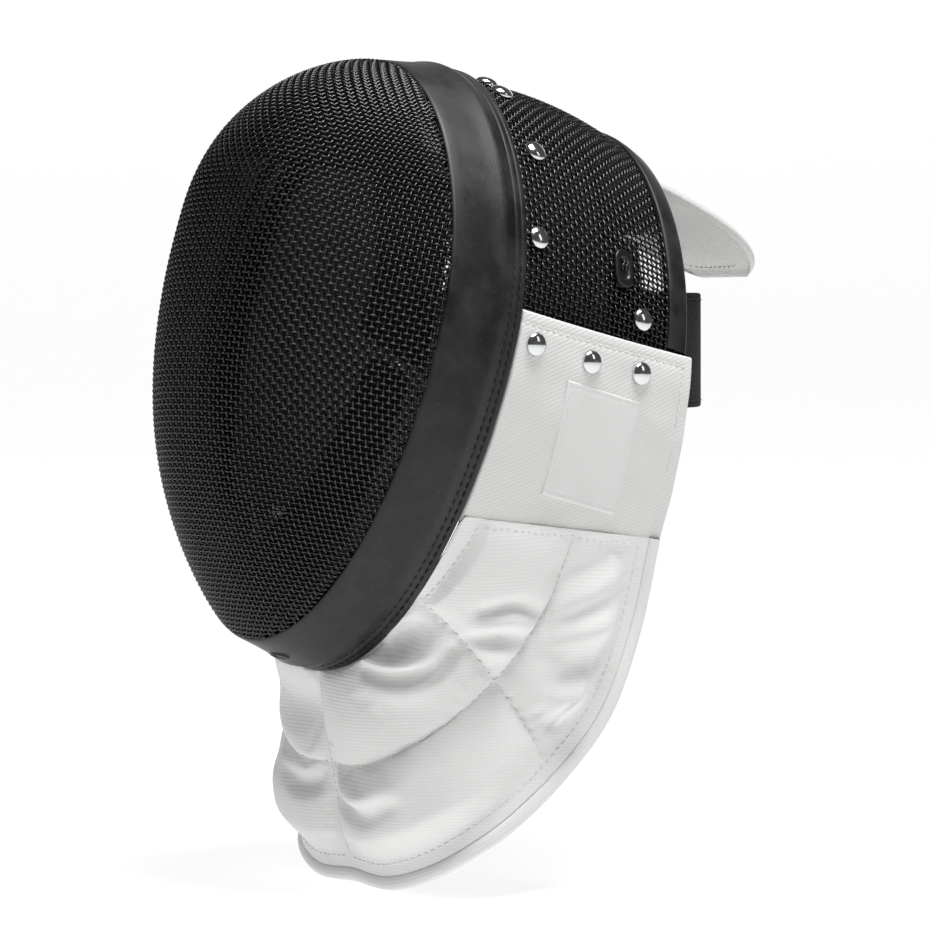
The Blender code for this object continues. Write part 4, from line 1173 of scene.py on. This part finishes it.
def bib_half(steps, folds):
    """Outer grid of one half, how far it puffs, and its grid before that."""
    chin, seam, hem, centre = bib_edges(steps)
    v, u = np.meshgrid(np.linspace(0, 1, steps + 1), np.linspace(0, 1, steps + 1), indexing="ij")
    U, V = u[..., None], v[..., None]
    base = (centre[:, None] * (1 - U) + seam[:, None] * U + chin[None] * (1 - V) + hem[None] * V
            - (chin[0] * (1 - U) + chin[-1] * U) * (1 - V) - (hem[0] * (1 - U) + hem[-1] * U) * V)
    normal = normals_of(base)
    normal[:, 0, 0] = 0
    normal = unit(normal)
    rear, lower = u > seam_across(v), v > seam_down(u)
    strength = np.where(rear, np.where(lower, 0.9, 0.7), np.where(lower, 0.85, 0.8))
    puff = pillow(u, seam_across(v)) * pillow(v, seam_down(u)) * smooth_step(0.955 - v, 0, 0.16)
    puff = puff * np.where(u > CHEEK_FRONT, smooth_step(v - cheek_seam(u), 0, 0.05), 1)
    belly = BIB_BELLY * np.sin(math.pi * v) * v * np.sin(math.pi * np.minimum(1, u + 0.15))
    folded = FOLD_GAIN * fold_relief(u, v, folds) * smooth_step(puff, 0, 0.5)
    rise = PUFF_GAIN * BIB_WALL * puff * strength + folded
    outer = base + normal * rise[..., None] - np.stack([0 * belly, belly, 0 * belly], -1)
    return outer, puff, base


def mirrored(near, far):
    """Both halves as one grid, the centre seam shared."""
    flipped = far[:, :0:-1] * ((-1, 1, 1) if far.ndim == 3 else 1)
    whole = np.concatenate([flipped, near], axis=1)
    if far.ndim == 3:
        whole[:, near.shape[1] - 1, 0] = 0
    return whole


near_half, far_half = bib_half(STEPS, FOLDS), bib_half(STEPS, FAR_FOLDS)
bib_start = mirrored(near_half[0], far_half[0])
bib_puff, bib_base = (mirrored(near_half[k], far_half[k]) for k in (1, 2))
print("bib grid", bib_start.shape)

# %% [markdown]
# ## Settling the bib
# Padded cloth bulges between its seams and puckers where they hold it. The
# outer sheet is grown a little and blown out by a cloth simulation while its
# edges and seams are held, so the seams stay where they were laid. Its inner
# face then follows at the padding's thickness.

# %% Let the cloth settle
SETTLE_FRAMES, SETTLE_GROWTH, SETTLE_PRESSURE, SETTLE_LIMIT = 14, 0.007, 2.5, 0.007


def settle(points, held, frames, growth, pressure):
    """Cloth simulation of a grid held along its seams; returns the moved grid."""
    rows, columns = points.shape[:2]
    mesh = bpy.data.meshes.new("settling_cloth")
    mesh.from_pydata(points.reshape(-1, 3).tolist(), [], grid_quads(rows, columns).tolist())
    trial = bpy.data.objects.new("settling_cloth", mesh)
    bpy.context.collection.objects.link(trial)
    group = trial.vertex_groups.new(name="held")
    for index in np.flatnonzero(held.ravel() > 0.01):
        group.add([int(index)], float(held.ravel()[index]), "REPLACE")
    cloth = trial.modifiers.new("cloth", "CLOTH")
    cloth.settings.quality = 5
    cloth.settings.mass = 0.3
    cloth.settings.tension_stiffness = cloth.settings.compression_stiffness = 12
    cloth.settings.shear_stiffness = 6
    cloth.settings.bending_stiffness = 4
    cloth.settings.vertex_group_mass = "held"
    cloth.settings.shrink_min = -growth
    cloth.settings.use_pressure = True
    cloth.settings.uniform_pressure_force = pressure
    cloth.settings.effector_weights.gravity = 0
    cloth.collision_settings.use_collision = False
    cloth.point_cache.frame_start, cloth.point_cache.frame_end = 1, frames
    scene = bpy.context.scene
    for frame_number in range(1, frames + 1):
        scene.frame_set(frame_number)
    ready = trial.evaluated_get(bpy.context.evaluated_depsgraph_get())
    moved = np.empty(rows * columns * 3)
    ready.data.vertices.foreach_get("co", moved)
    moved = moved.reshape(points.shape)
    scene.frame_set(1)
    bpy.data.objects.remove(trial)
    shift = moved - points
    size = np.linalg.norm(shift, axis=-1, keepdims=True)
    print("cloth moved at most", round(float(size.max()) * 1000, 2), "mm")
    limited = np.minimum(1, SETTLE_LIMIT / np.maximum(size, 1e-9))
    return points + shift * limited


held = smooth_step(0.16 - bib_puff, 0, 0.10)
held[[0, -1]] = 1
held[:, [0, -1]] = 1
bib_outer = settle(bib_start, held, SETTLE_FRAMES, SETTLE_GROWTH, SETTLE_PRESSURE)
bib_normal = normals_of(bib_outer)
bib_wall = BIB_SEAM_WALL + (BIB_WALL - BIB_SEAM_WALL) * bib_puff
bib_inner = bib_outer - bib_normal * bib_wall[..., None]
# The ribs of the cloth run level all round, so its map follows the height
bib_map = np.stack([cloth_map(bib_base)[..., 0], bib_base[..., 2]], axis=-1)
bib = slab("quilted_bib", bib_outer, bib_inner, quilting, laid=bib_map)
# The inner face takes the darkened tricot: painted shade inside the bib, seen through the face
# mesh
bib.data.materials.append(dark_tricot_for_shade)
each = (bib_outer.shape[0] - 1) * (bib_outer.shape[1] - 1)
inner_face_shade = np.zeros(len(bib.data.polygons), int)
inner_face_shade[each:2 * each] = 1
bib.data.polygons.foreach_set("material_index", inner_face_shade)
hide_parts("bib")
print("bib", len(bib.data.polygons), "faces")

# %% [markdown]
# ## Seams of the bib
# Rows of white stitches quilt the padding: one down the middle, one level, one
# upright, a short one under the flap, and two that follow the hem and the rear
# edge. They are laid on the settled cloth, a little sunk into it.

# %% Seams of the bib
def bib_line(us, vs):
    """A line over the bib's outer face, for the right half with us below 0."""
    row = np.clip(vs, 0, 1) * STEPS
    column = (np.clip(us, -1, 1) + 1) * STEPS
    i, j = np.minimum(row.astype(int), STEPS - 1), np.minimum(column.astype(int), 2 * STEPS - 1)
    a, b = (row - i)[:, None], (column - j)[:, None]

    def blend(grid):
        return ((grid[i, j] * (1 - b) + grid[i, j + 1] * b) * (1 - a)
                + (grid[i + 1, j] * (1 - b) + grid[i + 1, j + 1] * b) * a)

    return blend(bib_outer), blend(bib_normal)


way = np.linspace(0.012, 0.988, 500)
behind = CHEEK_FRONT + 0.3 * way
for name, side in (("left", 1), ("right", -1)):
    for seam_name, us, vs in (("lower", way, seam_down(way)),
                              ("cross", seam_across(way), way * 0.93 + 0.02),
                              ("hem", way, 0 * way + 0.945),
                              ("cheek", behind, cheek_seam(behind)),
                              ("flap", 0 * way + 0.985, 0.1 + 0.84 * way)):
        line, normal = bib_line(side * us, vs)
        stitches(f"{name}_bib_{seam_name}_seam", line - normal * 0.0001, normal, thread,
                 "white_canvas", BIB_STITCH)
line, normal = bib_line(0 * way, 0.02 + 0.92 * way)
stitches("bib_centre_seam", line, normal, thread, "white_canvas", BIB_STITCH)

# %% [markdown]
# ## Tape and hem
# A canvas tape joins the bib to the flap from inside and closes the gap between
# them. The bib's lower edge is bound with a roll of the same cloth, swept as a
# flattened ring along the edge of the settled sheet.

# %% Tape that joins flap and bib
TAPE_ABOVE, TAPE_HEIGHT = 0.006, 0.010
for name, side in (("left", 1), ("right", -1)):
    share, drop = np.meshgrid(np.linspace(0.02, 0.93, 60), np.linspace(0, 1, 8))
    back = flap_back(share, 1)
    up = flap_bottom(back) + TAPE_ABOVE - TAPE_HEIGHT * drop
    tape = slab(name + "_joining_tape", side_at(up, back, -FLAP_GAP + 0.0003, side),
                side_at(up, back, -FLAP_GAP + 0.0010, side), canvas)

# %% Rolled hem of the bib
HEM_SHARE_ROLLED, HEM_SQUARENESS = 0.9, 0.8
middle = (bib_outer[-1] + bib_inner[-1]) / 2
down = unit(bib_base[-1] - bib_base[-12])
across = unit(bib_outer[-1] - bib_inner[-1])
roll = full_turn(20)
sink = HEM_SHARE_ROLLED * HEM_WIDTH * (0.5 - 0.5 * np.cos(roll))
side_way = HEM_WALL / 2 * np.sign(np.sin(roll)) * np.abs(np.sin(roll)) ** HEM_SQUARENESS
loops = (middle[:, None] + down[:, None] * sink[None, :, None]
         + across[:, None] * side_way[None, :, None])
quads = grid_quads(*loops.shape[:2], around=True)
along = np.arange(len(loops))[:, None] * 0.0016
cloth = np.stack(np.broadcast_arrays(along, roll[None] * 0.0034), -1)
hem = make_piece("rolled_hem", loops, quads, quilting, cloth)
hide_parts("bib_binding")

# %% [markdown]
# ## Tongue
# The sprung tongue holds the back of the head. It is a steel strip padded with
# foam in white vinyl, sewn round its border. One curve gives its run from the
# crown to its tip, and its cover is thick or thin by the distance to its edge.

# %% Tongue
TONGUE_HALF_WIDTH, TONGUE_LEVEL, TONGUE_ROOT = 0.046, 0.035, 0.004
TONGUE_REACH, TONGUE_SPRING, TONGUE_FALL = 0.099, 0.012, 0.0345
TONGUE_END, TONGUE_GROOVE, TONGUE_RIM = 0.99, 0.0042, 0.0022


def crown_fall(x, back, inset):
    """How far the shell falls away from its crown at a distance across."""
    half, above, _ = side_sizes(back, inset)
    return above * (1 - (1 - np.minimum(np.abs(x) / half, 1) ** 2) ** (1 / UPPER_ROUND))


def tongue_line(share):
    share = np.asarray(share)[..., None]
    inset = TONGUE_INSET + TONGUE_WALL / 2
    root = np.array([TONGUE_ROOT, side_sizes(TONGUE_ROOT, inset)[1]])
    level = np.array([TONGUE_LEVEL, side_sizes(TONGUE_LEVEL, inset)[1]])
    bend = np.array([REAR_EAR + TONGUE_SPRING, level[1]])
    tip = np.array([REAR_TOP + TONGUE_REACH, root[1] - TONGUE_FALL])
    rest = 1 - share
    return (root * rest ** 3 + level * 3 * rest ** 2 * share + bend * 3 * rest * share ** 2
            + tip * share ** 3)


def tongue_spot(share, across, lift):
    here = tongue_line(share)
    ahead = unit(tongue_line(share + 0.01) - tongue_line(share - 0.01))
    corner = np.clip((share - 0.7) / 0.3, 0, 1)
    half = TONGUE_HALF_WIDTH * (0.8 + 0.2 * np.minimum(share / 0.4, 1))
    half = half * np.sqrt(np.clip(1 - corner ** 3, 0, 1))
    sag = crown_fall(half * across, TONGUE_ROOT, TONGUE_INSET) * np.maximum(1 - share, 0) ** 1.1
    back = here[..., 0] - ahead[..., 1] * (lift - sag)
    up = here[..., 1] + ahead[..., 0] * (lift - sag)
    return place(half * across, back, up)


share, across = np.meshgrid(TONGUE_END * rimmed(110, 0.008), 2 * rimmed(60, 0.03) - 1,
                            indexing="ij")
edge = rounded(share / TONGUE_END, 0.008) * rounded((across + 1) / 2, 0.03)
border = np.minimum((1 - np.abs(across)) * TONGUE_HALF_WIDTH, (TONGUE_END - share) * 0.19)
groove = np.exp(-((border - TONGUE_GROOVE) / 0.0009) ** 2)
puffed = smooth_step(border, TONGUE_GROOVE, 0.014)
rim = 0.0010 * np.exp(-((border - TONGUE_RIM) / 0.0018) ** 2)
thick = edge * (TONGUE_WALL / 2 * (0.75 + 0.45 * puffed) - 0.0006 * groove + rim)
tongue = slab("padded_tongue", tongue_spot(share, across, thick),
              tongue_spot(share, across, -thick), vinyl)
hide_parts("tongue")
way = np.linspace(-0.86, 0.86, 500)
sewn_share = 0.955 - 0.42 * np.abs(way) ** 7
for face, name in ((1, "upper"), (-1, "lower")):
    spot = tongue_spot(sewn_share, way * 1.04, face * TONGUE_WALL * 0.44)
    lift = spot - tongue_spot(sewn_share, way * 1.04, 0)
    stitches(f"tongue_{name}_seam", spot, lift, thread, "white_vinyl", FINE_STITCH)

# %% [markdown]
# ## Strap
# The strap is wide black elastic, anchored under the flaps on both sides. It
# follows the shell as far as the shell reaches, then swings free round the
# back of the head in a flat bow.

# %% Strap
STRAP_HEIGHT, STRAP_WALL, STRAP_BOW, STRAP_UP = 0.054, 0.0025, 0.093, 0.006
STRAP_FREE = 0.25


def strap_spot(turn, height, inset):
    behind = LINING_REAR + STRAP_HEIGHT / 2 * math.sin(LEAN) + 3 * CLEARANCE
    anchor = lean(0, behind, STRAP_UP)
    run = np.cos(turn)
    y = anchor[1] + (STRAP_BOW - inset) * run
    z = anchor[2] + height
    back = y * math.cos(LEAN) - z * math.sin(LEAN)
    up = y * math.sin(LEAN) + z * math.cos(LEAN)
    sizes = side_sizes(np.minimum(back, REAR_EAR), MESH_WALL + CLEARANCE + inset)
    held = half_width_at(np.minimum(up, STRAP_UP + STRAP_HEIGHT), *sizes)
    free = half_width_at(STRAP_UP, *sizes)
    leaves = (REAR_EAR - behind + STRAP_HEIGHT / 2 * math.sin(LEAN)) / STRAP_BOW
    x = held + (free - held) * smooth_step(run - leaves, 0, STRAP_FREE)
    x = x * np.copysign(np.sqrt(np.clip(1 - run ** 3, 0, 1)), turn)
    return np.stack([x, y, z], axis=-1) - SEAT


turn, height = np.meshgrid(math.pi / 2 * (2 * rimmed(150, 0.006) - 1), rimmed(40, 0.025) - 0.5,
                           indexing="ij")
edge = rounded(height + 0.5, 0.025)
inset = STRAP_WALL / 2
strap = slab("elastic_strap", strap_spot(turn, STRAP_HEIGHT * height, inset - inset * edge),
             strap_spot(turn, STRAP_HEIGHT * height, inset + inset * edge), elastic)
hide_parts("back_strap")
turn = np.linspace(-1.45, 1.45, 600)
for name, height in (("upper", 0.44), ("lower", -0.44)):
    height = STRAP_HEIGHT * height + 0 * turn
    line = strap_spot(turn, height, 0.0)
    lift = line - strap_spot(turn, height, 0.001)
    stitches(f"strap_{name}_seam", line, lift, black_thread, "black_elastic",
             FINE_STITCH)
print("tongue and strap ready")

# %% [markdown]
# ## Rivets
# Domed rivets hold the layers together. A rivet is a turned shape, so its
# profile is spun once round its own axis and set on the shell's normal.

# %% Rivets
RIVET_RADIUS, RIVET_HEIGHT, SHANK_RADIUS, WASHER_RADIUS = 0.0055, 0.0032, 0.0022, 0.0042
STRAP_LAYER = STRAP_WALL + 0.0008 + 2 * CLEARANCE
GRIPS = {"mesh": MESH_WALL, "flap": MESH_WALL + FLAP_GAP + FLAP_WALL,
         "mesh and strap": MESH_WALL + STRAP_LAYER,
         "flap and strap": MESH_WALL + FLAP_GAP + FLAP_WALL + STRAP_LAYER,
         "tongue": TONGUE_INSET + TONGUE_WALL + 0.0010}
TONGUE_RIVET_ACROSS, TONGUE_RIVET_BACK = 0.020, 0.014
# Height, distance behind the ring, and what the rivet holds
RIVETS = ((0.118, 0.0140, "mesh"), (0.088, 0.0140, "mesh"), (0.045, 0.0085, "mesh"),
          (0.023, 0.073, "mesh and strap"), (-0.004, 0.0105, "flap"), (-0.004, 0.044, "flap"),
          (-0.002, 0.0745, "flap and strap"))


def side_pose(up, back, inset, side):
    """Point, and the across, upward and outward directions of the shell there."""
    step = 0.002
    point = side_at(up, back, inset, side)
    upward = side_at(up + step, back, inset, side) - side_at(up - step, back, inset, side)
    along = side_at(up, back + step, inset, side) - side_at(up, back - step, inset, side)
    outward = unit(np.cross(along, upward) * side)
    across = unit(np.cross(upward, outward))
    return point, np.stack([across, np.cross(outward, across), outward])


def make_rivet(name, pose, grip, node_name):
    point, axes = pose
    dome_turn = np.linspace(0, math.pi / 2, 9)
    head = [(RIVET_RADIUS * math.sin(t), 0.0004 + (RIVET_HEIGHT - 0.0004) * math.cos(t))
            for t in dome_turn]
    low = -grip - CLEARANCE
    profile = head + [(RIVET_RADIUS, 0.0001), (RIVET_RADIUS * 0.93, 0.0), (SHANK_RADIUS, 0.0),
                      (SHANK_RADIUS, low), (WASHER_RADIUS, low),
                      (WASHER_RADIUS * 1.02, low - 0.0005), (WASHER_RADIUS * 0.8, low - 0.0011),
                      (0.0016, low - 0.0013), (0.0, low - 0.0009)]
    radius = np.array([p[0] for p in profile])
    height = np.array([p[1] for p in profile])
    turns = full_turn(40)
    spots = (point + radius[:, None, None] * (np.cos(turns)[None, :, None] * axes[0]
                                              + np.sin(turns)[None, :, None] * axes[1])
             + height[:, None, None] * axes[2])
    piece = make_piece(name, spots, grid_quads(*spots.shape[:2], around=True), steel)
    weld(piece, 50)
    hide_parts(node_name)


for name, side in (("left", 1), ("right", -1)):
    for number, (up, back, holds) in enumerate(RIVETS, 1):
        inset = FLAP_INSET if "flap" in holds else 0.0
        make_rivet(f"{name}_dome_rivet_{number}", side_pose(up, back, inset, side), GRIPS[holds],
                   f"{name}_rivet_{number}")
    turn = side * TONGUE_RIVET_ACROSS / float(side_sizes(0)[0])
    up = float(outline(turn, *side_sizes(TONGUE_RIVET_BACK))[1])
    make_rivet(f"{name}_dome_rivet_of_tongue", side_pose(up, TONGUE_RIVET_BACK, 0.0, side),
               GRIPS["tongue"], f"{name}_tongue_rivet")
print("rivets ready")

# %% [markdown]
# ## Clips
# A small spring clip on each side takes a plug. It is a stamped plate with
# round ends and a dished middle, in which two bent wires cross. The plate is
# one outline drawn smaller and smaller; the wires are swept like the mesh's.

# %% Clips
CLIP_WIDTH, CLIP_HEIGHT, CLIP_BACK, CLIP_UP = 0.011, 0.019, 0.060, 0.044
PRONG_RADIUS, PRONG_APART, PRONG_SWING = 0.00055, 0.0011, 0.0007
PRONG_TOP, PRONG_LENGTH = 0.0042, 0.0052


def make_clip(name, side, node_name):
    point, axes = side_pose(CLIP_UP, CLIP_BACK, 0.0, side)
    turns = full_turn(64)
    radius = CLIP_WIDTH / 2
    straight = CLIP_HEIGHT / 2 - radius
    end = np.where(np.sin(turns) >= 0, straight, -straight)
    # Share of the outline, and height over the mesh: rim, face, dished middle
    section = ((1.0, 0.0), (1.0, 0.0007), (0.97, 0.0011), (0.9, 0.0013), (0.62, 0.0013),
               (0.55, 0.0011), (0.5, 0.0006), (0.42, 0.0004), (0.2, 0.0004), (0.0, 0.0004))
    loops = []
    for share, height in section:
        x = share * radius * np.cos(turns)
        y = share * radius * np.sin(turns) + end * min(1, share * 1.2)
        loops.append(point + x[:, None] * axes[0] + y[:, None] * axes[1]
                     + (height + CLEARANCE) * axes[2])
    quads = grid_quads(len(loops), len(turns), around=True)
    piece = make_piece(name, np.array(loops), quads, paint)
    weld(piece, 45)
    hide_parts(node_name)
    way = np.linspace(0, 1, 25)
    for number, shift in ((1, -PRONG_APART), (2, PRONG_APART)):
        x = shift + PRONG_SWING * np.sin(way * 2 * math.pi)
        y = PRONG_TOP - PRONG_LENGTH * way
        rise = 0.0010 + 0.0009 * np.sin(way * math.pi)
        line = point + x[:, None] * axes[0] + y[:, None] * axes[1] + rise[:, None] * axes[2]
        prong = wires(f"{name}_prong_{number}",
                      [(line, np.repeat(axes[2:], len(way), 0), 0 * way)], PRONG_RADIUS, paint, 8)


for name, side in (("left", 1), ("right", -1)):
    make_clip(name + "_bayonet_clip", side, name + "_clip")

# %% [markdown]
# ## Camera, floor and light
# The photograph looks level at the mask from 55 degrees round its left side.
# A pale floor curves up into a backdrop, a big soft light hangs overhead, and
# the pale room fills the shadows.

# %% Camera
AIM = np.array([0, -SEAT[1], -SEAT[2]])
DISTANCE, AZIMUTH = 1.7, math.radians(55)
LENS, SHIFT_ACROSS, SHIFT_UP = 140.2, 0.0839, -0.145
back_off = Vector((math.sin(AZIMUTH), -math.cos(AZIMUTH), 0))
camera = bpy.data.objects.new("camera", bpy.data.cameras.new("camera"))
bpy.context.collection.objects.link(camera)
camera.location = Vector(AIM) + back_off * DISTANCE
camera.rotation_euler = (-back_off).to_track_quat("-Z", "Y").to_euler()
camera.data.sensor_width = 36
camera.data.lens = LENS
camera.data.shift_x, camera.data.shift_y = SHIFT_ACROSS, SHIFT_UP
bpy.context.scene.camera = camera

# %% Floor and backdrop
floor_height = min(cad_box[0][2], float(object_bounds()[0][2])) - 0.0005
FLOOR_REACH, BACKDROP_CURVE, BACKDROP_TOP = 4.0, 0.8, 3.0
across = np.linspace(-FLOOR_REACH, FLOOR_REACH, 25)
profile = [(-FLOOR_REACH, 0.0), (FLOOR_REACH, 0.0)]
for t in np.linspace(0.1, math.pi / 2, 16):
    profile.append((FLOOR_REACH + BACKDROP_CURVE * math.sin(t),
                    BACKDROP_CURVE - BACKDROP_CURVE * math.cos(t)))
profile += [(FLOOR_REACH + BACKDROP_CURVE, BACKDROP_TOP)]
away = -np.array(back_off)
sideways = np.array([away[1], -away[0], 0])
sheet = np.array([[away * d + sideways * a + (0, 0, h + floor_height) for a in across]
                  for d, h in profile])
backdrop_paint, tree, shader = start_finish("matt_white_paint", "#a0a0a0", 0.9,
                                            Emission_Color=(1, 1, 1, 1), Emission_Strength=0.85)
floor = make_piece("floor", sheet, grid_quads(*sheet.shape[:2]), backdrop_paint)


# %% Lights
ROOM_LIGHT = 0.08


def softbox(name, where, size, power, colour="#ffffff"):
    lamp = bpy.data.objects.new(name, bpy.data.lights.new(name, "AREA"))
    bpy.context.collection.objects.link(lamp)
    lamp.data.shape = "RECTANGLE"
    lamp.data.size, lamp.data.size_y = size
    lamp.data.energy = power
    lamp.data.color = linear(colour)[:3]
    lamp.location = where
    lamp.rotation_euler = (Vector(AIM) - Vector(where)).to_track_quat("-Z", "Y").to_euler()


softbox("overhead", (0.35, 0.0, 1.1), (0.8, 0.6), 25)
softbox("front_left", (-1.2, -1.4, 0.6), (0.6, 1.0), 1.2)
softbox("right", (1.5, 0.9, 0.7), (0.3, 0.9), 1.6)
world = bpy.data.worlds.new("pale_room")
bpy.context.scene.world = world
world.use_nodes = True
world.node_tree.nodes["Background"].inputs[0].default_value = (1, 1, 1, 1)
world.node_tree.nodes["Background"].inputs[1].default_value = ROOM_LIGHT
bpy.context.scene.view_settings.view_transform = "Standard"
print("camera, floor and lights ready")
